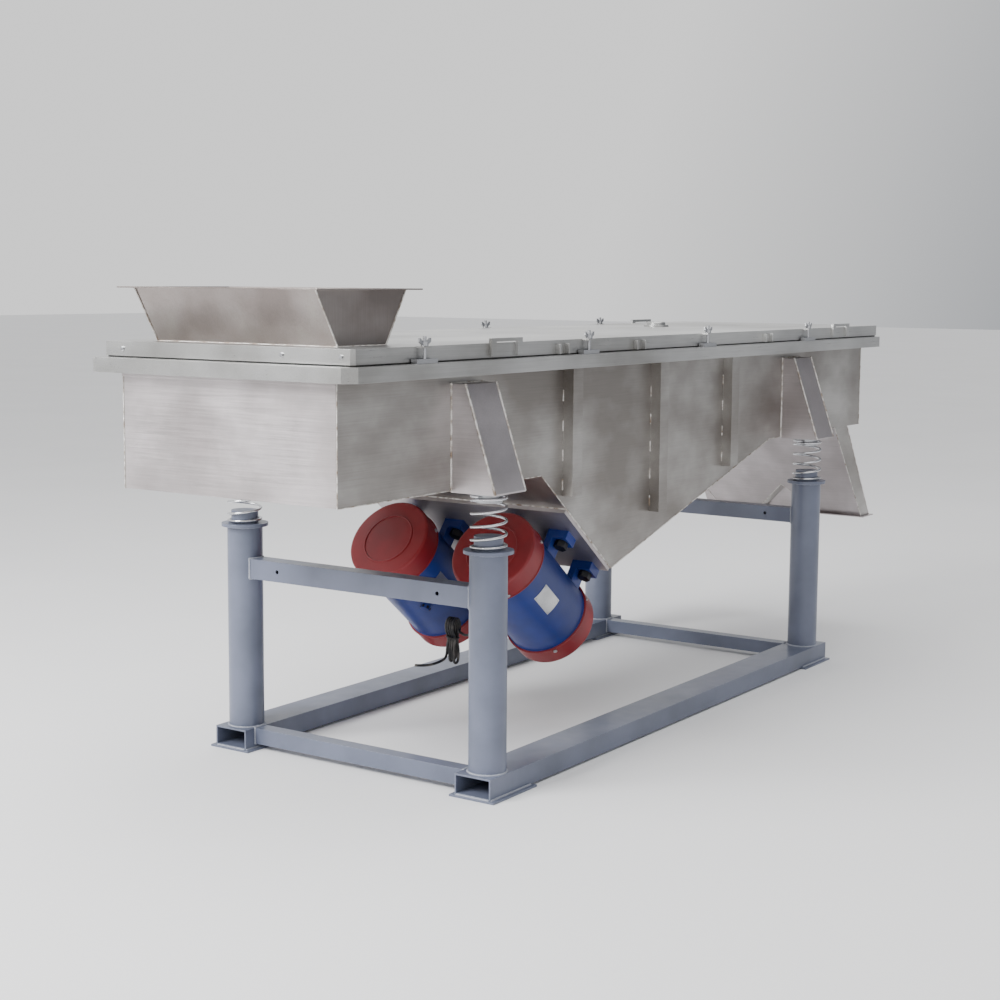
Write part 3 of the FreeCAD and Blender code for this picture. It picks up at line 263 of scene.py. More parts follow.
@dataclass(frozen=True)
class CastEnamel(Enamel):
    """Thick enamel over sand-cast iron: glossy, with the casting's grain showing through."""

    grain_mm: float = 3.2

    def dress(self, tree: bpy.types.NodeTree, shader: bpy.types.Node) -> None:
        """The enamel's own look over a coarser, deeper bump."""
        super().dress(tree, shader)
        link = shader.inputs["Normal"].links[0]
        sand = add(tree, "ShaderNodeBump", {"Height": self.grain(tree, self.grain_mm, 2.0),
                                            "Strength": 0.22, "Distance": 0.6 * MM,
                                            "Normal": link.from_socket})
        tree.links.new(sand.outputs["Normal"], shader.inputs["Normal"])


@dataclass(frozen=True)
class PlatedSteel(Finish):
    """Steel with a thin metal plating: bright, faintly spangled."""

    colour: str = "#C9CBCF"
    roughness: float = 0.22
    spangle_mm: float = 1.6
    metallic: float = 1.0

    def dress(self, tree: bpy.types.NodeTree, shader: bpy.types.Node) -> None:
        """Small flakes of slightly different tone and gloss."""
        flakes = self.grain(tree, self.spangle_mm, 2.0)
        base = linear(self.colour)
        dim = tuple(0.78 * c for c in base[:3]) + (1.0,)
        tree.links.new(ramp(tree, flakes, [(0.35, dim), (0.62, base)]), shader.inputs["Base Color"])
        gloss = add(tree, "ShaderNodeMapRange", {"Value": self.grain(tree, 14, 3.0),
                                                 "To Min": self.roughness - 0.05,
                                                 "To Max": self.roughness + 0.10})
        tree.links.new(gloss.outputs["Result"], shader.inputs["Roughness"])
        shader.inputs["Metallic"].default_value = self.metallic
        bump = add(tree, "ShaderNodeBump", {"Height": flakes, "Strength": 0.08, "Distance": 0.2 * MM})
        tree.links.new(bump.outputs["Normal"], shader.inputs["Normal"])


@dataclass(frozen=True)
class WeldBead(Finish):
    """Weld metal, wire-brushed: bright ripples with a straw and brown heat tint in the hollows."""

    colour: str = "#D5D2CE"
    tint: str = "#8F7F70"
    roughness: float = 0.30

    def dress(self, tree: bpy.types.NodeTree, shader: bpy.types.Node) -> None:
        """Bright metal, tinted in uneven stretches."""
        heat = self.grain(tree, 18, 5.0)
        tree.links.new(ramp(tree, heat, [(0.34, linear(self.tint)), (0.56, linear(self.colour))]),
                       shader.inputs["Base Color"])
        shader.inputs["Metallic"].default_value = 0.85
        shader.inputs["Roughness"].default_value = self.roughness
        bump = add(tree, "ShaderNodeBump", {"Height": self.grain(tree, 1.4, 2.0), "Strength": 0.3,
                                            "Distance": 0.3 * MM})
        tree.links.new(bump.outputs["Normal"], shader.inputs["Normal"])


@dataclass(frozen=True)
class Rubber(Finish):
    """Moulded or extruded rubber: dark, dull, dusty in patches."""

    colour: str = "#1A1A1C"
    dust: str = "#4A4744"
    roughness: float = 0.62

    def dress(self, tree: bpy.types.NodeTree, shader: bpy.types.Node) -> None:
        """A matt black with a thin grey bloom of dust."""
        bloom = self.grain(tree, 30, 5.0)
        tree.links.new(ramp(tree, bloom, [(0.45, linear(self.colour)), (0.75, linear(self.dust))]),
                       shader.inputs["Base Color"])
        shader.inputs["Roughness"].default_value = self.roughness
        bump = add(tree, "ShaderNodeBump", {"Height": self.grain(tree, 0.9, 2.0), "Strength": 0.12,
                                            "Distance": 0.2 * MM})
        tree.links.new(bump.outputs["Normal"], shader.inputs["Normal"])


@dataclass(frozen=True)
class FloorPaint(Finish):
    """Pale matt floor paint."""

    colour: str = "#EDEDEE"

    def dress(self, tree: bpy.types.NodeTree, shader: bpy.types.Node) -> None:
        """One pale matt tone with the faintest cloud."""
        cloud = self.grain(tree, 900, 2.0)
        base = linear(self.colour)
        dim = tuple(0.97 * c for c in base[:3]) + (1.0,)
        tree.links.new(ramp(tree, cloud, [(0.3, dim), (0.7, base)]), shader.inputs["Base Color"])
        shader.inputs["Roughness"].default_value = 0.85


# baked machine enamel: the frame's blue-grey, dull between gloss and satin
FRAME_PAINT = Enamel("frame_enamel_blue_grey", colour="#656B7E", shade="#575D6E", rubbed="#959AA8")
# stainless sheet, brushed along the machine: the trough's sides look warm grey with paler patches
TROUGH_STEEL = SheetSteel("stainless_brushed_long")
# the same sheet brushed across: end plates and folded parts, painted paler than the trough sheet as
# painted light, matching the brightly lit feed end
END_STEEL_PAINTED_LIGHT = SheetSteel("stainless_brushed_across_painted_light", colour="#BDB6B6", pale="#D3CCCD", dull="#B2AAAA",
                       brushed_along=(1.0, 60.0, 1.0), roughness=0.40)
# thinner polished sheet: the lid and rail look lighter and cleaner than the trough
LID_STEEL = SheetSteel("stainless_lid", colour="#BDBDBC", pale="#D2D2D0", dull="#A4A3A0",
                       roughness=0.33, patch_mm=320.0)
# the hopper's sheet, brushed upright: its warmer, browner, darker grey is painted shade
HOPPER_STEEL_PAINTED_SHADE = SheetSteel("stainless_hopper_painted_shade", colour="#9C9490", pale="#B2ADA8", dull="#857C78",
                          brushed_along=(1.0, 1.0, 40.0), roughness=0.36)
# blue machine enamel on cast iron: deep colour over a sandy grain
MOTOR_BLUE = CastEnamel("cast_iron_blue_enamel", colour="#16317F", shade="#112563", rubbed="#2C4490",
                        roughness=0.42, coat=0.1, peel_depth=0.08)
# red enamel on pressed steel: smooth and dark, with little gloss
COVER_RED = Enamel("pressed_steel_red_enamel", colour="#86141C", shade="#6E0F16", rubbed="#8C2129",
                   roughness=0.44, coat=0.1, peel_depth=0.05)
# zinc on drawn wire, bolts and bearings: bright silver with a fine spangle
SPRING_ZINC = PlatedSteel("spring_wire_bright_zinc", colour="#DADBDE", roughness=0.20)
BOLT_ZINC = PlatedSteel("bolt_zinc", colour="#B9BABD", roughness=0.30, spangle_mm=0.9)
# black oxide on bolts: near black with a dull metal sheen
BOLT_BLACK = PlatedSteel("bolt_black_oxide", colour="#2A2B2E", roughness=0.38, metallic=0.7)
# bare aluminium plate: pale, finely brushed
PLATE_ALUMINIUM = SheetSteel("aluminium_plate_bare", colour="#C6C7C9", pale="#D6D7D8", dull="#B5B6B8",
                             brush_mm=0.8, patch_mm=60.0, roughness=0.32)
# turned cast iron: mid grey with a soft metal shine
CAST_GREY = PlatedSteel("turned_cast_iron", colour="#6E6F72", roughness=0.42, metallic=0.9)
# moulded and extruded rubber: matt black, dusty in patches
GASKET = Rubber("rubber_gasket")
CABLE_SHEATH = Rubber("rubber_cable_sheath", colour="#151517", dust="#5A5550", roughness=0.50)
# drawn stainless wire: silver grey
CLOTH_WIRE = PlatedSteel("stainless_cloth_wire", colour="#B4B3B0", roughness=0.30, spangle_mm=0.8)
# brushed weld metal, and the same beads under the frame's enamel in a paler copy of it: painted highlight
# on ripples that catch the light
WELD = WeldBead("weld_stainless_brushed")
WELD_ENAMEL_PAINTED_HIGHLIGHT = Enamel("weld_under_frame_enamel_painted_highlight", colour="#989CA8", shade="#868A96", rubbed="#C4C6CC",
                      roughness=0.34)


# ---------------------------------------------------------------- mesh helpers
def paint(node: str, finish: Finish) -> None:
    """Give a CAD node its finish.

    Args:
        node: the node's name.
        finish: what it is made of and how it is finished.
    """
    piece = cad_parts[node]
    material = finish.make()
    if not piece.material_slots:
        piece.data.materials.append(material)
    for place in piece.material_slots:
        place.material = material


def mesh_piece(name: str, points: list[Point], faces: list[list[int]],
               edges: list[tuple[int, int]] | None = None) -> bpy.types.Object:
    """A mesh object at the origin with its place in its mesh.

    Args:
        name: the piece's name.
        points: its corners, in metres.
        faces: its faces as corner numbers.
        edges: loose edges, where it has no faces.
    Returns:
        The new object, linked to the scene.
    """
    mesh = bpy.data.meshes.new(name)
    mesh.from_pydata(points, edges or [], faces)
    mesh.update()
    piece = bpy.data.objects.new(name, mesh)
    bpy.context.scene.collection.objects.link(piece)
    return piece


def freeze(piece: bpy.types.Object) -> bpy.types.Object:
    """Turn an object with modifiers, or a curve, into a plain mesh with the same look.

    Args:
        piece: the object to turn.
    Returns:
        The mesh object that took its place, under the same name.
    """
    bpy.context.view_layer.update()
    graph = bpy.context.evaluated_depsgraph_get()
    mesh = bpy.data.meshes.new_from_object(piece.evaluated_get(graph))
    mesh.name = piece.name
    if piece.type == "MESH":
        piece.modifiers.clear()
        piece.data = mesh
        return piece
    name = piece.name
    bpy.data.objects.remove(piece)
    solid = bpy.data.objects.new(name, mesh)
    bpy.context.scene.collection.objects.link(solid)
    return solid


def smooth(piece: bpy.types.Object, angle: float = 40.0) -> None:
    """Shade a mesh smooth except where its faces turn sharply.

    Args:
        piece: the mesh object.
        angle: the sharpest turn that stays smooth, in degrees.
    """
    work = bmesh.new()
    work.from_mesh(piece.data)
    for face in work.faces:
        face.smooth = True
    for edge in work.edges:
        if len(edge.link_faces) == 2:
            edge.smooth = edge.calc_face_angle(0) < math.radians(angle)
    work.to_mesh(piece.data)
    work.free()


def shade_round(piece: bpy.types.Object) -> bpy.types.Object:
    """Shade every face of a mesh smooth."""
    for face in piece.data.polygons:
        face.use_smooth = True
    return piece


def settle(piece: bpy.types.Object, body: str) -> bpy.types.Object:
    """Make a finished piece move with a body.

    Args:
        piece: the finished piece.
        body: the CAD body that carries it.
    Returns:
        The same piece.
    """
    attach(piece, body)
    LOG.info("%s rides on %s", piece.name, body)
    return piece


# ---------------------------------------------------------------- geometry node trees
def new_tree(name: str, sockets: list[tuple[str, str, float | None]]) -> tuple:
    """Start a geometry tree with a geometry input and output and named inputs.

    Args:
        name: the tree's name.
        sockets: the name, socket type and default of each further input.
    Returns:
        The tree, its group input node and its group output node.
    """
    tree = bpy.data.node_groups.new(name, "GeometryNodeTree")
    tree.interface.new_socket("Geometry", in_out="INPUT", socket_type="NodeSocketGeometry")
    tree.interface.new_socket("Geometry", in_out="OUTPUT", socket_type="NodeSocketGeometry")
    for title, kind, default in sockets:
        socket = tree.interface.new_socket(title, in_out="INPUT", socket_type=kind)
        if default is not None:
            socket.default_value = default
    return tree, add(tree, "NodeGroupInput"), add(tree, "NodeGroupOutput")


def apply_tree(piece: bpy.types.Object, tree: bpy.types.NodeTree, values: dict) -> bpy.types.Object:
    """Run a geometry tree on a piece and keep the result as a plain mesh.

    Args:
        piece: the piece that feeds the tree.
        tree: the geometry tree.
        values: an input value for each of the tree's sockets, by name.
    Returns:
        The piece with its new mesh.
    """
    modifier = piece.modifiers.new(tree.name, "NODES")
    modifier.node_group = tree
    for item in tree.interface.items_tree:
        if item.in_out == "INPUT" and item.name in values:
            modifier[item.identifier] = values[item.name]
    return freeze(piece)


def finish_tree(tree: bpy.types.NodeTree, geometry: bpy.types.NodeSocket, entry: bpy.types.Node,
                end: bpy.types.Node) -> None:
    """End a tree in real geometry with its material.

    Args:
        tree: the geometry tree.
        geometry: the instances to make real.
        entry: the tree's group input, with a Material socket.
        end: the tree's group output.
    """
    real = add(tree, "GeometryNodeRealizeInstances", {"Geometry": geometry})
    dressed = add(tree, "GeometryNodeSetMaterial", {"Geometry": real.outputs["Geometry"],
                                                    "Material": entry.outputs["Material"]})
    tree.links.new(dressed.outputs["Geometry"], end.inputs["Geometry"])


def bead_tree() -> bpy.types.NodeTree:
    """Ripples of weld metal laid one over the next along edges.

    Returns:
        A tree with Radius, Pitch and Material inputs.
    """
    known = bpy.data.node_groups.get("weld_beads")
    if known is not None:
        return known
    tree, entry, end = new_tree("weld_beads", [("Radius", "NodeSocketFloat", 0.004),
                                               ("Pitch", "NodeSocketFloat", 0.005),
                                               ("Material", "NodeSocketMaterial", None)])
    line = add(tree, "GeometryNodeMeshToCurve", {"Mesh": entry.outputs["Geometry"]})
    spots = add(tree, "GeometryNodeCurveToPoints", {"Curve": line.outputs["Curve"],
                                                    "Length": entry.outputs["Pitch"]}, mode="LENGTH")
    ripple = add(tree, "GeometryNodeMeshUVSphere", {"Segments": 8, "Rings": 5,
                                                    "Radius": entry.outputs["Radius"]})
    flat = add(tree, "GeometryNodeTransform", {"Geometry": ripple.outputs["Mesh"],
                                               "Scale": (1.0, 1.0, 0.95)})
    shaded = add(tree, "GeometryNodeSetShadeSmooth", {"Geometry": flat.outputs["Geometry"]})
    size = add(tree, "FunctionNodeRandomValue", {"Min": (0.84, 0.84, 0.9), "Max": (1.12, 1.12, 1.1),
                                                 "Seed": 7}, data_type="FLOAT_VECTOR")
    laid = add(tree, "GeometryNodeInstanceOnPoints", {"Points": spots.outputs["Points"],
                                                      "Instance": shaded.outputs["Geometry"],
                                                      "Rotation": spots.outputs["Rotation"],
                                                      "Scale": size.outputs["Value"]})
    finish_tree(tree, laid.outputs["Instances"], entry, end)
    return tree


def head_tree() -> bpy.types.NodeTree:
    """Bolt and screw heads, each standing on a point and facing the way its point says.

    Returns:
        A tree with Radius, Height, Sides and Material inputs.
    """
    known = bpy.data.node_groups.get("fastener_heads")
    if known is not None:
        return known
    tree, entry, end = new_tree("fastener_heads", [("Radius", "NodeSocketFloat", 0.006),
                                                   ("Height", "NodeSocketFloat", 0.005),
                                                   ("Sides", "NodeSocketInt", 6),
                                                   ("Material", "NodeSocketMaterial", None)])
    head = add(tree, "GeometryNodeMeshCylinder", {"Vertices": entry.outputs["Sides"],
                                                  "Radius": entry.outputs["Radius"],
                                                  "Depth": entry.outputs["Height"]})
    crown = add(tree, "GeometryNodeMeshCone", {"Vertices": entry.outputs["Sides"],
                                               "Radius Bottom": entry.outputs["Radius"],
                                               "Radius Top": add(tree, "ShaderNodeMath", {
                                                   0: entry.outputs["Radius"], 1: 0.78},
                                                   operation="MULTIPLY").outputs["Value"],
                                               "Depth": add(tree, "ShaderNodeMath", {
                                                   0: entry.outputs["Height"], 1: 0.22},
                                                   operation="MULTIPLY").outputs["Value"]})
    half = add(tree, "ShaderNodeMath", {0: entry.outputs["Height"], 1: 0.5}, operation="MULTIPLY")
    low = add(tree, "ShaderNodeCombineXYZ", {"Z": half.outputs["Value"]})
    top = add(tree, "ShaderNodeCombineXYZ", {"Z": entry.outputs["Height"]})
    stand = add(tree, "GeometryNodeTransform", {"Geometry": head.outputs["Mesh"],
                                                "Translation": low.outputs["Vector"]})
    cap = add(tree, "GeometryNodeTransform", {"Geometry": crown.outputs["Mesh"],
                                              "Translation": top.outputs["Vector"]})
    both = add(tree, "GeometryNodeJoinGeometry")
    tree.links.new(stand.outputs["Geometry"], both.inputs["Geometry"])
    tree.links.new(cap.outputs["Geometry"], both.inputs["Geometry"])
    spots = add(tree, "GeometryNodeMeshToPoints", {"Mesh": entry.outputs["Geometry"]})
    facing = add(tree, "GeometryNodeInputNamedAttribute", {"Name": "facing"}, data_type="FLOAT_VECTOR")
    turn = add(tree, "FunctionNodeAlignRotationToVector", {"Vector": facing.outputs["Attribute"]},
               axis="Z")
    laid = add(tree, "GeometryNodeInstanceOnPoints", {"Points": spots.outputs["Points"],
                                                      "Instance": both.outputs["Geometry"],
                                                      "Rotation": turn.outputs["Rotation"]})
    finish_tree(tree, laid.outputs["Instances"], entry, end)
    return tree


def cloth_tree() -> bpy.types.NodeTree:
    """Wires laid side by side from one point: one layer of a wire cloth.

    Returns:
        A tree with Count, Step, Start, Length, Wire, Turn and Material inputs.
    """
    tree, entry, end = new_tree("cloth_wires", [("Count", "NodeSocketInt", 10),
                                                ("Step", "NodeSocketVector", None),
                                                ("Start", "NodeSocketVector", None),
                                                ("Length", "NodeSocketFloat", 1.0),
                                                ("Wire", "NodeSocketFloat", 0.0004),
                                                ("Turn", "NodeSocketVector", None),
                                                ("Material", "NodeSocketMaterial", None)])
    row = add(tree, "GeometryNodeMeshLine", {"Count": entry.outputs["Count"],
                                             "Start Location": entry.outputs["Start"],
                                             "Offset": entry.outputs["Step"]}, mode="OFFSET")
    wire = add(tree, "GeometryNodeMeshCylinder", {"Vertices": 6, "Radius": entry.outputs["Wire"],
                                                  "Depth": entry.outputs["Length"]})
    lying = add(tree, "GeometryNodeTransform", {"Geometry": wire.outputs["Mesh"],
                                                "Rotation": entry.outputs["Turn"]})
    laid = add(tree, "GeometryNodeInstanceOnPoints", {"Points": row.outputs["Mesh"],
                                                      "Instance": lying.outputs["Geometry"]})
    finish_tree(tree, laid.outputs["Instances"], entry, end)
    return tree


def weld(name: str, body: str, routes: list[Route], radius_mm: float, finish: Finish) -> bpy.types.Object:
    """A run of weld along one or more routes.

    Args:
        name: the piece's name.
        body: the body that it is welded on.
        routes: the corners of each route, in metres.
        radius_mm: the bead's half width.
        finish: the bead's finish.
    Returns:
        The finished piece.
    """
    points: list[Point] = []
    edges: list[tuple[int, int]] = []
    for route in routes:
        first = len(points)
        points.extend(route)
        edges.extend((first + i, first + i + 1) for i in range(len(route) - 1))
    piece = mesh_piece(name, points, [], edges)
    apply_tree(piece, bead_tree(), {"Radius": radius_mm * MM, "Pitch": radius_mm * BEAD_PITCH * MM,
                                    "Material": finish.make()})
    return settle(piece, body)


def heads(name: str, body: str, spots: list[tuple[Point, Point]], radius_mm: float, height_mm: float,
          finish: Finish, sides: int = 6) -> bpy.types.Object:
    """A set of like bolt or screw heads.

    Args:
        name: the piece's name.
        body: the body that carries them.
        spots: where each head stands and the way it faces.
        radius_mm: half its width across corners.
        height_mm: how tall it stands.
        finish: its finish.
        sides: six for a hexagon, more for a round head.
    Returns:
        The finished piece.
    """
    piece = mesh_piece(name, [spot for spot, _ in spots], [])
    facing = piece.data.attributes.new("facing", "FLOAT_VECTOR", "POINT")
    for item, (_, way) in zip(facing.data, spots):
        item.vector = way
    apply_tree(piece, head_tree(), {"Radius": radius_mm * MM, "Height": height_mm * MM, "Sides": sides,
                                    "Material": finish.make()})
    if sides > ROUND_SIDES:
        smooth(piece, 35)
    return settle(piece, body)


def circle(centre: Vector, across: Vector, up: Vector, radius: float, steps: int = 24) -> Route:
    """A closed ring of points.

    Args:
        centre: its middle.
        across: one direction in its plane.
        up: the other direction in its plane.
        radius: its radius, in metres.
        steps: how many straight steps it has.
    Returns:
        The points, with the first repeated at the end.
    """
    turns = [2 * math.pi * i / steps for i in range(steps + 1)]
    return [tuple(centre + radius * (math.cos(a) * across + math.sin(a) * up)) for a in turns]


def round_tube(name: str, points: Route, radius: float, finish: Finish, smooth_line: bool = True,
               sides: int = 4) -> bpy.types.Object:
    """A curve with a round section.

    Args:
        name: the piece's name.
        points: the points it follows.
        radius: the section's radius, in metres.
        finish: its finish.
        smooth_line: whether it bends smoothly or runs straight from point to point.
        sides: the roundness of its section.
    Returns:
        The curve object.
    """
    data = bpy.data.curves.new(name, "CURVE")
    data.dimensions = "3D"
    data.bevel_depth = radius
    data.bevel_resolution = sides
    data.use_fill_caps = True
    data.resolution_u = 8
    line = data.splines.new("NURBS" if smooth_line else "POLY")
    line.points.add(len(points) - 1)
    for target, point in zip(line.points, points):
        target.co = (*point, 1.0)
    if smooth_line:
        line.use_endpoint_u = True
        line.order_u = 3
    data.materials.append(finish.make())
    piece = bpy.data.objects.new(name, data)
    bpy.context.scene.collection.objects.link(piece)
    return piece


# ---------------------------------------------------------------- studio
@dataclass(frozen=True)
class Lamp:
    """A soft rectangular light: its place, what it faces, its size in metres and its watts."""

    name: str
    place: Point
    aim: Point
    size: tuple[float, float]
    watts: float

    def hang(self) -> None:
        """Hang the light in the scene."""
        data = bpy.data.lights.new(self.name, "AREA")
        data.shape = "RECTANGLE"
        data.size, data.size_y = self.size
        data.energy = self.watts
        lamp = bpy.data.objects.new(self.name, data)
        turn = (Vector(self.aim) - Vector(self.place)).to_track_quat("-Z", "Y")
        lamp.matrix_world = Matrix.Translation(self.place) @ turn.to_matrix().to_4x4()
        bpy.context.scene.collection.objects.link(lamp)


@dataclass
class Studio:
    """A pale floor, soft lights and the camera."""

    place: Point = (-4.1753, -2.58375, 1.18325)
    heading: float = 34.05
    dip: float = 6.74
    roll: float = 0.42
    lens_mm: float = 62.396
    shift: tuple[float, float] = (-0.00186, -0.01521)
    sensor_mm: float = 36.0
    far_clip: float = 200.0
    floor_half: float = 40.0
    bright_way: Point = (-0.62, 0.72, 0.30)
    sky_tones: tuple[tuple[float, str], ...] = ((0.06, "#6F737A"), (0.30, "#A9ACB1"), (0.42, "#FFFFFF"))
    sky_strength: float = 1.1
    lamps: tuple[Lamp, ...] = (
        Lamp("key_from_feed_end", (-4.6, 1.4, 3.4), (-0.6, 0, 0.7), (2.6, 2.2), 400),
        Lamp("soft_from_above", (0.2, -0.6, 4.6), (0, 0, 0.8), (5.0, 3.0), 90),
        Lamp("fill_from_near_side", (-1.2, -5.2, 1.6), (0, 0, 0.6), (4.0, 2.0), 20))

    def camera(self) -> None:
        """Stand the camera and make it the scene's own."""
        yaw, pitch, roll = (math.radians(a) for a in (self.heading, self.dip, self.roll))
        forward = Vector((math.cos(yaw) * math.cos(pitch), math.sin(yaw) * math.cos(pitch),
                          -math.sin(pitch)))
        level = Vector((math.sin(yaw), -math.cos(yaw), 0))
        rise = level.cross(forward)
        right = math.cos(roll) * level + math.sin(roll) * rise
        up = math.cos(roll) * rise - math.sin(roll) * level
        data = bpy.data.cameras.new("camera")
        data.lens = self.lens_mm
        data.sensor_width = self.sensor_mm
        data.shift_x, data.shift_y = self.shift
        data.clip_end = self.far_clip
        camera = bpy.data.objects.new("camera", data)
        turn = Matrix((right, up, -forward)).transposed()
        camera.matrix_world = Matrix.Translation(self.place) @ turn.to_4x4()
        bpy.context.scene.collection.objects.link(camera)
        bpy.context.scene.camera = camera

    def sky(self) -> None:
        """A pale room, brighter towards the feed end and dimmer towards the near side."""
        world = bpy.data.worlds.new("pale_room")
        bpy.context.scene.world = world
        world.use_nodes = True
        tree = world.node_tree
        tree.nodes.clear()
        way = add(tree, "ShaderNodeTexCoord").outputs["Generated"]
        lit = add(tree, "ShaderNodeVectorMath", {0: way, 1: self.bright_way},
                  operation="DOT_PRODUCT").outputs["Value"]
        tone = ramp(tree, add(tree, "ShaderNodeMapRange", {"Value": lit, "From Min": -1.0,
                                                           "From Max": 1.0}).outputs["Result"],
                    [(place, linear(code)) for place, code in self.sky_tones])
        glow = add(tree, "ShaderNodeBackground", {"Color": tone, "Strength": self.sky_strength})
        add(tree, "ShaderNodeOutputWorld", {"Surface": glow.outputs["Background"]})

    def build(self) -> None:
        """Set up the whole studio."""
        self.camera()
        self.sky()
        for lamp in self.lamps:
            lamp.hang()
        size = self.floor_half
        floor = mesh_piece("floor", [(-size, -size, 0), (size, -size, 0), (size, size, 0),
                                     (-size, size, 0)], [[0, 1, 2, 3]])
        floor.data.materials.append(FloorPaint("floor_paint_pale").make())


# ---------------------------------------------------------------- supply cable
@dataclass
class SupplyCable:
    """The near motor's lead: out of its gland, wound into a tied hank, its end hanging bare."""

    thick: float = 0.007
    exit: Point = (-0.5706, -0.0940, 0.3216)
    hank: Point = (-0.583, -0.006, 0.316)
    lead: Route = field(default_factory=lambda: [(-0.5863, -0.0940, 0.3021), (-0.595, -0.080, 0.283),
                                                 (-0.595, -0.054, 0.273), (-0.587, -0.029, 0.280)])
    joining: Route = field(default_factory=lambda: [(6, -16, -40), (15, -12, -32)])
    turn: Route = field(default_factory=lambda: [(17, 0, -18), (10, 0, -7), (0, 0, -3), (-11, 0, -8),
                                                 (-18, 0, -22), (-13, 0, -40), (-4, 0, -54),
                                                 (-7, 0, -72), (-11, 0, -92), (-9, 0, -116),
                                                 (-4, 0, -121), (4, 0, -121), (9, 0, -116), (12, 0, -92),
                                                 (8, 0, -72), (4, 0, -54), (13, 0, -38)])
    leaving: Route = field(default_factory=lambda: [(-14, 9, -97), (-25, 6, -107)])
    tail: Route = field(default_factory=lambda: [(-46, 4, -110), (-78, 7, -113), (-110, 11, -111),
                                                 (-140, 16, -105)])
    planes: tuple[float, ...] = (-10.6, -3.5, 3.5, 10.6)
    fullness: tuple[float, ...] = (1.0, 0.86, 0.94, 0.80)
    tie_level: float = -54
    narrowest: float = 0.72
    last_points: int = 9
    tape: tuple[float, float, float] = (0.0148, 0.0030, 0.12)
    sleeve_steps: int = 20
    sleeve_rings: tuple[tuple[float, float], ...] = ((-0.001, 0.0105), (0.004, 0.0105), (0.0045, 0.0075),
                                                     (0.020, 0.0050), (0.020, 0.0036))

    def near_hank(self, spot: Point) -> Point:
        """A point given in millimetres from the top of the hank, in metres of the machine."""
        return tuple(h + s * MM for h, s in zip(self.hank, spot))

    def points(self) -> Route:
        """The cable's whole line, from the gland to its cut end.

        Returns:
            The control points of its spline.
        """
        line = [self.exit, *self.lead, *(self.near_hank(p) for p in self.joining)]
        for number, (plane, full) in enumerate(zip(self.planes, self.fullness)):
            last = number == len(self.planes) - 1
            spread = self.narrowest + (1 - self.narrowest) * full
            for across, _, down in self.turn[:self.last_points] if last else self.turn:
                below = down - self.tie_level
                drop = self.tie_level + below * (full if below < 0 else 1.0)
                line.append(self.near_hank((across * spread, plane, drop)))
        line.extend(self.near_hank(p) for p in (*self.leaving, *self.tail))
        return line

    def length(self, piece: bpy.types.Object) -> float:
        """Measure the spline itself.

        Args:
            piece: the cable's curve object.
        Returns:
            Its length in metres.
        """
        return piece.data.splines[0].calc_length(resolution=64)

    def tie(self) -> bpy.types.Object:
        """The tape wound round the middle of the hank."""
        radius, thick, tilt = self.tape
        middle = Vector(self.near_hank((0, 0, self.tie_level)))
        ring = circle(middle, Vector((1, 0, 0)), Vector((0, 1, tilt)), radius, 20)
        piece = round_tube("cable_tape", ring, thick, GASKET, smooth_line=False, sides=2)
        return settle(freeze(piece), "trough")

    def sleeve(self) -> bpy.types.Object:
        """The gland's tapered rubber sleeve."""
        start = Vector(self.exit)
        way = (Vector(self.lead[0]) - start).normalized()
        side = way.orthogonal().normalized()
        other = way.cross(side)
        rings = self.sleeve_rings
        steps = self.sleeve_steps
        points = [tuple(start + way * along + radius * (math.cos(a) * side + math.sin(a) * other))
                  for along, radius in rings for a in (2 * math.pi * i / steps for i in range(steps))]
        faces = [[r * steps + i, r * steps + (i + 1) % steps, (r + 1) * steps + (i + 1) % steps,
                  (r + 1) * steps + i] for r in range(len(rings) - 1) for i in range(steps)]
        faces.append(list(range(steps))[::-1])
        faces.append([(len(rings) - 1) * steps + i for i in range(steps)])
        piece = mesh_piece("cable_sleeve", points, faces)
        piece.data.materials.append(GASKET.make())
        smooth(piece)
        return settle(piece, "trough")

    def build(self) -> None:
        piece = round_tube("motor_cable", self.points(), self.thick / 2, CABLE_SHEATH)
        settle(piece, "trough")
        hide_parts("cable_lead", "cable_hank", "cable_tail")
        self.tie()
        self.sleeve()
        LOG.info("motor_cable is %.3f m long", self.length(piece))


# ---------------------------------------------------------------- base frame
class End(Enum):
    """The two ends of the machine."""

    FEED = "feed"
    DISCHARGE = "discharge"


class Side(Enum):
    """The two sides of the machine."""

    NEAR = "near"
    FAR = "far"


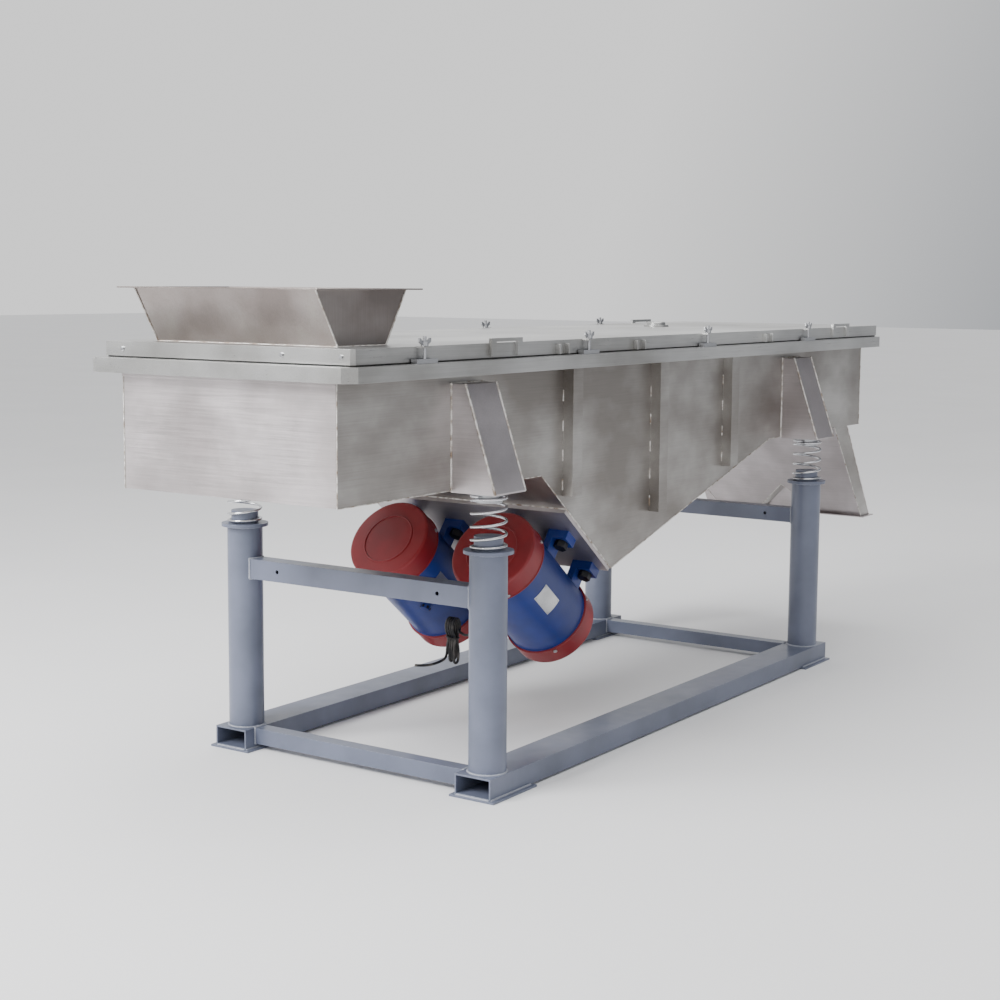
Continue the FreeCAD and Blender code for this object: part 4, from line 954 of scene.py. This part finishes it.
@dataclass
class BaseFrame:
    """Tubes, posts, caps and beams under blue-grey enamel, with their welds, and the springs."""

    post_radius: float = 0.04445
    tube_top: float = 0.055
    foot_top: float = 0.005
    spring_radius: float = 0.0407
    spring_wire: float = 0.0066
    spring_turns: float = 5.5
    closed_pitch: float = 0.0074
    spring_steps: int = 24
    foot_ring: float = 0.001
    cap_ring: float = -0.0005
    bead_inset: float = 0.004
    bead_run: float = 0.165
    end_inset: float = 0.006

    def post_centre(self, side: Side, end: End) -> Vector:
        """The middle of a post's foot."""
        low, high = (Vector(c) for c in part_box(f"post_{side.value}_{end.value}"))
        middle = (low + high) / 2
        outer = low.y if side is Side.NEAR else high.y
        inward = 1 if side is Side.NEAR else -1
        return Vector((middle.x, outer + inward * self.post_radius, self.tube_top))

    def dress(self) -> None:
        """Paint every tube, plate, post and beam."""
        for node in ("long_tube_near", "long_tube_far", "cross_tubes", "foot_plates", "post_caps",
                     "upper_beam_feed", "upper_beam_discharge"):
            paint(node, FRAME_PAINT)
        for side in Side:
            for end in End:
                paint(f"post_{side.value}_{end.value}", FRAME_PAINT)

    def post_welds(self) -> list[Route]:
        """Rings round each post's foot and under its cap."""
        rings: list[Route] = []
        under_cap = Vector(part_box("post_caps")[0]).z
        for side in Side:
            for end in End:
                foot = self.post_centre(side, end)
                for level, extra in ((self.tube_top, self.foot_ring), (under_cap, self.cap_ring)):
                    rings.append(circle(Vector((foot.x, foot.y, level)), Vector((1, 0, 0)),
                                        Vector((0, 1, 0)), self.post_radius + extra, 40))
        return rings

    def cross_welds(self) -> list[Route]:
        """Three-sided welds where each cross tube meets a long tube."""
        low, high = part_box("cross_tubes")
        wide = high[2] - low[2]
        routes: list[Route] = []
        for x0 in (low[0], high[0] - wide):
            for y in (low[1], high[1]):
                routes.append([(x0, y, low[2]), (x0, y, high[2]), (x0 + wide, y, high[2]),
                               (x0 + wide, y, low[2]), (x0, y, low[2])])
        return routes

    def beam_welds(self) -> list[Route]:
        """Saddle welds where each square beam meets its round posts."""
        routes: list[Route] = []
        for end in End:
            low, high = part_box(f"upper_beam_{end.value}")
            half = (high[0] - low[0]) / 2
            for side in Side:
                post = self.post_centre(side, end)
                inward = 1 if side is Side.NEAR else -1
                across = [half * (i / 4 - 1) for i in range(9)]
                top = [(post.x + a, post.y + inward * math.sqrt(self.post_radius ** 2 - a * a), high[2])
                       for a in across]
                under = [(x, y, low[2]) for x, y, _ in reversed(top)]
                routes.append(top + under + top[:1])
        return routes

    def foot_welds(self) -> list[Route]:
        """Runs along the long tubes' bottoms over each floor plate, and across their open ends."""
        routes: list[Route] = []
        for side in Side:
            low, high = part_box(f"long_tube_{side.value}")
            spans = ((low[0] + self.bead_inset, low[0] + self.bead_run),
                     (high[0] - self.bead_run, high[0] - self.bead_inset))
            for y in (low[1], high[1]):
                routes += [[(x, y, self.foot_top) for x in span] for span in spans]
            ends = (low[1] + self.end_inset, high[1] - self.end_inset)
            routes += [[(x, y, self.foot_top) for y in ends] for x in (low[0], high[0])]
        return routes

    def coil_line(self, post: Vector, foot: float, head: float) -> Route:
        """The middle line of one spring's wire.

        Args:
            post: the middle of the post that it stands on.
            foot: the level of its lowest point.
            head: the level of its highest point.
        Returns:
            Points up the coil: a closed turn at each end and open turns between.
        """
        open_turns = self.spring_turns - 2
        open_rise = head - foot - self.spring_wire - 2 * self.closed_pitch
        line: Route = []
        for i in range(round(self.spring_turns * self.spring_steps) + 1):
            turn = i / self.spring_steps
            middle = min(max(turn - 1, 0), open_turns) / open_turns
            height = (self.closed_pitch * (min(turn, 1) + max(turn - 1 - open_turns, 0))
                      + open_rise * middle)
            angle = 2 * math.pi * turn
            line.append((post.x + self.spring_radius * math.cos(angle),
                         post.y + self.spring_radius * math.sin(angle),
                         foot + self.spring_wire / 2 + height))
        return line

    def springs(self) -> None:
        """Wind each spring as one smooth wire that stretches between its cap and its seat."""
        for side in Side:
            for end in End:
                node = f"spring_{side.value}_{end.value}"
                low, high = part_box(node)
                post = self.post_centre(side, end)
                line = self.coil_line(post, low[2], high[2])
                piece = freeze(round_tube(f"coil_{side.value}_{end.value}", line, self.spring_wire / 2,
                                          SPRING_ZINC, smooth_line=False, sides=4))
                shade_round(piece)
                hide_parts(node)
                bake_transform(piece)
                LOG.info("%s bends between base and trough", piece.name)

    def build(self) -> None:
        """Dress the frame and add its welds and springs."""
        self.dress()
        # the frame's welds use a paler copy of its enamel: painted highlight
        weld("frame_post_welds", "base", self.post_welds(), 3.4, WELD_ENAMEL_PAINTED_HIGHLIGHT)
        weld("frame_cross_welds", "base", self.cross_welds(), 3.2, WELD_ENAMEL_PAINTED_HIGHLIGHT)
        weld("frame_beam_welds", "base", self.beam_welds(), 3.4, WELD_ENAMEL_PAINTED_HIGHLIGHT)
        weld("frame_foot_welds", "base", self.foot_welds(), 3.6, WELD_ENAMEL_PAINTED_HIGHLIGHT)
        self.springs()


# ---------------------------------------------------------------- trough
@dataclass
class Trough:
    """The welded stainless body: side plates, floor, brackets, ribs, rail and deck."""

    side: float = 0.310
    rib_places: tuple[float, ...] = (-0.542, -0.099, 0.325)
    rib_feet: tuple[float, ...] = (0.650, 0.565, 0.652)
    rib_wide: float = 0.045
    bracket_half: float = 0.061
    bracket_low: float = 0.709
    bracket_high: float = 0.951
    bracket_reach: tuple[float, float] = (0.1205, 0.0395)
    bracket_places: tuple[float, ...] = (-0.955, 0.785)
    seam_out: float = 0.0002
    seat_start: float = 0.150
    seat_end: float = 0.005
    cloth_pitch: float = 0.0045
    cloth_wire: float = 0.00035
    belly: Route = field(default_factory=lambda: [(-1.419, 0, 0.709), (-0.639, 0, 0.709),
                                                  (-0.300, 0, 0.436), (0.645, 0, 0.709),
                                                  (1.139, 0, 0.709)])

    def dress(self) -> None:
        """Give every plate its own way of brushing."""
        for node in ("side_plate_near", "side_plate_far", "trough_floor", "side_ribs", "chute_sides"):
            paint(node, TROUGH_STEEL)
        # end plates and folded parts get the paler stainless, whose pale tones are painted light
        for node in ("end_plate_feed", "end_plate_discharge", "spring_brackets", "motor_seat_plate",
                     "chute_back", "chute_floor", "spout_lips"):
            paint(node, END_STEEL_PAINTED_LIGHT)
        for node in ("top_rail", "deck_ledges", "deck_frame", "sieve_cloth"):
            paint(node, LID_STEEL)
        paint("spring_seats", BOLT_ZINC)
        paint("clamp_studs", BOLT_ZINC)

    def bracket_welds(self) -> list[Route]:
        """Upright beads beside each bracket and down its folded corners."""
        routes: list[Route] = []
        for sign in (-1, 1):
            for x in self.bracket_places:
                wall = sign * self.side
                foot, head = (sign * (self.side + r) for r in self.bracket_reach)
                for edge in (x - self.bracket_half, x + self.bracket_half):
                    routes.append([(edge, wall, self.bracket_low), (edge, wall, self.bracket_high)])
                routes.append([(x - self.bracket_half, wall, self.bracket_high),
                               (x + self.bracket_half, wall, self.bracket_high)])
                for edge in (x - self.bracket_half, x + self.bracket_half):
                    routes.append([(edge, foot, self.bracket_low), (edge, head, self.bracket_high)])
        return routes

    def stitches(self, start: Vector, end: Vector, long: float = 0.024, gap: float = 0.050) -> list[Route]:
        """Short beads with gaps between them along a line.

        Args:
            start: where the first stitch begins.
            end: where the line ends.
            long: a stitch's length, in metres.
            gap: the space between stitches.
        Returns:
            One route for each stitch.
        """
        way = (end - start).normalized()
        reach = (end - start).length
        routes: list[Route] = []
        along = gap / 3
        while along + long < reach:
            routes.append([tuple(start + way * along), tuple(start + way * (along + long))])
            along += long + gap
        return routes

    def rib_welds(self) -> list[Route]:
        """Stitches down both edges of every rib."""
        top = Vector(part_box("side_plate_near")[1]).z
        routes: list[Route] = []
        for sign in (-1, 1):
            wall = sign * self.side
            for x, foot in zip(self.rib_places, self.rib_feet):
                for edge in (x, x + self.rib_wide):
                    routes += self.stitches(Vector((edge, wall, foot)), Vector((edge, wall, top)))
        return routes

    def seam_welds(self) -> list[Route]:
        """Fine dressed seams: sides to floor, sides to ends and sides to the rail."""
        top = Vector(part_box("side_plate_near")[1]).z
        low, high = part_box("side_plate_near")
        routes: list[Route] = []
        for sign in (-1, 1):
            wall = sign * (self.side + self.seam_out)
            routes.append([(x, wall, z) for x, _, z in self.belly])
            routes.append([(low[0], wall, self.bracket_low), (low[0], wall, top)])
            routes.append([(high[0], wall, self.bracket_low), (high[0], wall, top)])
            routes.append([(low[0], wall, top), (high[0], wall, top)])
        return routes

    def seat_welds(self) -> list[Route]:
        """Beads along the motor seat's upper and lower edges and its two ends."""
        slope = Vector(self.belly[2]) - Vector(self.belly[1])
        way = slope.normalized()
        start = Vector(self.belly[1]) + way * self.seat_start
        end = Vector(self.belly[1]) + way * (slope.length - self.seat_end)
        routes: list[Route] = [[(p.x, -self.side, p.z), (p.x, self.side, p.z)] for p in (start, end)]
        for sign in (-1, 1):
            routes.append([(start.x, sign * self.side, start.z), (end.x, sign * self.side, end.z)])
        return routes

    def cloth(self) -> None:
        """Lay the sieve cloth: one layer of wires along the machine and one across it."""
        low, high = (Vector(c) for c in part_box("sieve_cloth"))
        pitch, wire = self.cloth_pitch, self.cloth_wire
        long, wide = high.x - low.x, high.y - low.y
        layers = {"cloth_along": (round(wide / pitch), (0.0, pitch, 0.0),
                                  ((low.x + high.x) / 2, low.y + wire, low.z + wire), long - 2 * wire,
                                  (0.0, math.pi / 2, 0.0)),
                  "cloth_across": (round(long / pitch), (pitch, 0.0, 0.0),
                                   (low.x + wire, (low.y + high.y) / 2, low.z + 3 * wire), wide - 2 * wire,
                                   (math.pi / 2, 0.0, 0.0))}
        tree = cloth_tree()
        for name, (count, step, start, length, turn) in layers.items():
            piece = mesh_piece(name, [(0, 0, 0)], [])
            apply_tree(piece, tree, {"Count": count, "Step": step, "Start": start, "Length": length,
                                     "Wire": wire, "Turn": turn, "Material": CLOTH_WIRE.make()})
            settle(piece, "trough")
            if name == "cloth_along":
                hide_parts("sieve_cloth")

    def build(self) -> None:
        """Dress the trough and add its welds and wire cloth."""
        self.dress()
        weld("bracket_welds", "trough", self.bracket_welds(), 3.6, WELD)
        weld("rib_stitches", "trough", self.rib_welds(), 2.8, WELD)
        weld("body_seams", "trough", self.seam_welds(), 1.5, WELD)
        weld("seat_welds", "trough", self.seat_welds(), 3.0, WELD)
        self.cloth()


@dataclass
class Chute:
    """The forked discharge chute's seams."""

    top: float = 0.709
    low: float = 0.390
    floor_x: tuple[float, float] = (1.138, 1.384)
    back_x: tuple[float, float] = (1.242, 1.452)
    near_y: float = -0.310
    far_y: tuple[float, float] = (0.310, 0.232)
    taper_z: float = 0.595
    notch: tuple[float, float] = (-0.045, 0.488)
    feet_y: tuple[float, float] = (-0.152, 0.074)

    def slanted(self, ends: tuple[float, float], level: float) -> float:
        """How far along the machine a sloping sheet is at a level."""
        share = (self.top - level) / (self.top - self.low)
        return ends[0] + share * (ends[1] - ends[0])

    def build(self) -> None:
        """Run dressed beads down the chute's corners and round its notch."""
        routes: list[Route] = []
        for ends in (self.floor_x, self.back_x):
            routes.append([(self.slanted(ends, z), self.near_y, z) for z in (self.top, self.low)])
            routes.append([(self.slanted(ends, z), y, z)
                           for y, z in ((self.far_y[0], self.top), (self.far_y[0], self.taper_z),
                                        (self.far_y[1], self.low))])
        near, far = self.feet_y
        routes.append([(self.slanted(self.floor_x, z), y, z)
                       for y, z in ((near, self.low), self.notch, (far, self.low))])
        weld("chute_seams", "trough", routes, 1.6, WELD)


# ---------------------------------------------------------------- vibration motors
@dataclass
class Motors:
    """Two vibration motors: cast blue casings, pressed red covers, their screws and plates."""

    centre: tuple[float, float] = (-0.488, 0.392251)
    apart: float = 0.164
    slope: float = math.atan2(0.273, 0.339)
    cover_radius: float = 0.115
    body_half: float = 0.130
    rim: tuple[float, float] = (0.0025, 0.0022)
    ring: tuple[float, float, float] = (0.0582, 0.070, 0.0020)
    screw_angles: tuple[float, ...] = (34, 124, 214, 304)
    screw_place: tuple[float, float] = (0.012, 0.0005)
    plate_along: tuple[float, float] = (-0.068, 0.002)
    plate_angles: tuple[float, float] = (-31, -11)
    plate_radius: float = 0.1110
    gland: tuple[float, float, float, float] = (0.020, 0.1068, 0.070, 0.009)

    @property
    def shaft(self) -> Vector:
        """The way both shafts point, down the seat's slope."""
        return Vector((math.cos(self.slope), 0, -math.sin(self.slope)))

    @property
    def up(self) -> Vector:
        """The way square to the seat, upwards."""
        return Vector((math.sin(self.slope), 0, math.cos(self.slope)))

    def spot(self, side: Side, along: float, angle: float, radius: float) -> tuple[Vector, Vector]:
        """A point on a motor, and the way its surface faces there.

        Args:
            side: which motor.
            along: how far down its shaft from the middle.
            angle: degrees up from the side that faces away from the machine's middle line.
            radius: how far from the shaft.
        Returns:
            The point and the outward direction.
        """
        sign = -1 if side is Side.NEAR else 1
        turn = math.radians(angle)
        way = Vector((0, -1, 0)) * math.cos(turn) + self.up * math.sin(turn)
        middle = Vector((self.centre[0], sign * self.apart, self.centre[1]))
        return middle + self.shaft * along + way * radius, way

    def dress(self) -> None:
        """Enamel the casings and covers and plate the rest."""
        for side in Side:
            paint(f"motor_housing_{side.value}", MOTOR_BLUE)
            paint(f"rotor_{side.value}", BOLT_ZINC)
            paint(f"eccentric_weights_{side.value}", CAST_GREY)
        paint("motor_covers", COVER_RED)
        paint("motor_bearings", BOLT_ZINC)
        paint("motor_bolts", BOLT_BLACK)
        paint("name_plates", PLATE_ALUMINIUM)

    def cover_rims(self) -> None:
        """A rolled bead round each cover's open edge and a shallow pressed ring on its end."""
        rim_past, rim_wire = self.rim
        ring_past, ring_radius, ring_wire = self.ring
        for side in Side:
            for end, way in (("upper", -1), ("lower", 1)):
                middle, _ = self.spot(side, way * (self.body_half + rim_past), 0, 0)
                self.pressed_ring(f"cover_rim_{side.value}_{end}", middle, self.cover_radius, rim_wire, 64)
                middle += self.shaft * way * ring_past
                self.pressed_ring(f"cover_ring_{side.value}_{end}", middle, ring_radius, ring_wire, 48)

    def pressed_ring(self, name: str, middle: Vector, radius: float, wire: float, steps: int) -> None:
        """One round bead about a motor's shaft.

        Args:
            name: the piece's name.
            middle: its centre.
            radius: its radius, in metres.
            wire: its section's radius.
            steps: how many straight steps it has.
        """
        line = circle(middle, Vector((0, 1, 0)), self.up, radius, steps)
        bead = freeze(round_tube(name, line, wire, COVER_RED, smooth_line=False, sides=3))
        settle(shade_round(bead), "trough")

    def screws(self) -> None:
        """Cover screws round each rim, and rivets at the corners of the bare plates."""
        past, sunk = self.screw_place
        spots = []
        for side in Side:
            for way in (-1, 1):
                for angle in self.screw_angles:
                    where, facing = self.spot(side, way * (self.body_half + past), angle,
                                              self.cover_radius - sunk)
                    spots.append((tuple(where), tuple(facing)))
        heads("cover_screws", "trough", spots, 5.0, 3.6, BOLT_ZINC, sides=16)
        rivets = []
        for side in Side:
            for along in self.plate_along:
                for angle in self.plate_angles:
                    where, facing = self.spot(side, along, angle, self.plate_radius)
                    rivets.append((tuple(where), tuple(facing)))
        heads("plate_rivets", "trough", rivets, 1.8, 1.0, BOLT_ZINC, sides=12)

    def glands(self) -> None:
        """A hexagon collar at the mouth of each cable boss."""
        back, reach, inward, sunk = self.gland
        down = -self.up
        spots = []
        for sign in (-1, 1):
            middle = Vector((self.centre[0], sign * self.apart, self.centre[1]))
            face = middle - self.shaft * back + down * reach + Vector((0, -sign * inward, 0))
            spots.append((tuple(face - down * sunk), tuple(down)))
        heads("gland_collars", "trough", spots, 14.5, 7.0, BOLT_BLACK)

    def build(self) -> None:
        """Dress the motors and add their small parts."""
        self.dress()
        self.cover_rims()
        self.screws()
        self.glands()


# ---------------------------------------------------------------- lid
@dataclass
class Lid:
    """The lid with its hopper, port, handles and lugs, and the wing nuts that hold it."""

    feed_bolts: tuple[float, ...] = (0.30, -0.17, -0.33)
    flange: float = 0.027
    flare: float = 0.071
    flange_thick: float = 0.003

    def dress(self) -> None:
        """Steel for the sheet parts, rubber for the gasket and zinc for the nuts."""
        for node in ("lid", "lid_handles", "lid_lugs", "lid_port"):
            paint(node, LID_STEEL)
        # the hopper's browner, darker grey is painted shade
        paint("feed_hopper", HOPPER_STEEL_PAINTED_SHADE)
        paint("lid_gasket", GASKET)
        for side in Side:
            for place in ("one", "two", "three", "four"):
                paint(f"wing_nut_{side.value}_{place}", BOLT_ZINC)

    def hopper_welds(self) -> list[Route]:
        """A bead round the hopper's foot and up its four corners."""
        low, high = (Vector(c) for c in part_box("feed_hopper"))
        foot_z = low.z
        x0, x1 = low.x + self.flange + self.flare, high.x - self.flange - self.flare
        y0, y1 = low.y + self.flange, high.y - self.flange
        ring = [(x0, y0, foot_z), (x1, y0, foot_z), (x1, y1, foot_z), (x0, y1, foot_z), (x0, y0, foot_z)]
        corners = [[(x, y, foot_z), (x + way * self.flare, y, high.z - self.flange_thick)]
                   for x, way in ((x0, -1), (x1, 1)) for y in (y0, y1)]
        return [ring] + corners

    def fasteners(self) -> None:
        """Small bolts along the lid's feed edge."""
        low, high = (Vector(c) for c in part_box("lid"))
        middle = (low.z + high.z) / 2
        spots = [((low.x, y, middle), (-1.0, 0.0, 0.0)) for y in self.feed_bolts]
        heads("lid_feed_bolts", "lid", spots, 5.0, 3.4, BOLT_ZINC)

    def build(self) -> None:
        """Dress the lid and add its welds and bolts."""
        self.dress()
        weld("hopper_welds", "lid", self.hopper_welds(), 2.2, WELD)
        self.fasteners()


def main() -> None:
    """Build the studio, then each part of the machine."""
    logging.basicConfig(level=logging.INFO, format="%(name)s: %(message)s")
    for part in (Studio(), SupplyCable(), BaseFrame(), Trough(), Chute(), Motors(), Lid()):
        part.build()
        LOG.info("%s done", type(part).__name__)


if __name__ == "__main__":
    main()
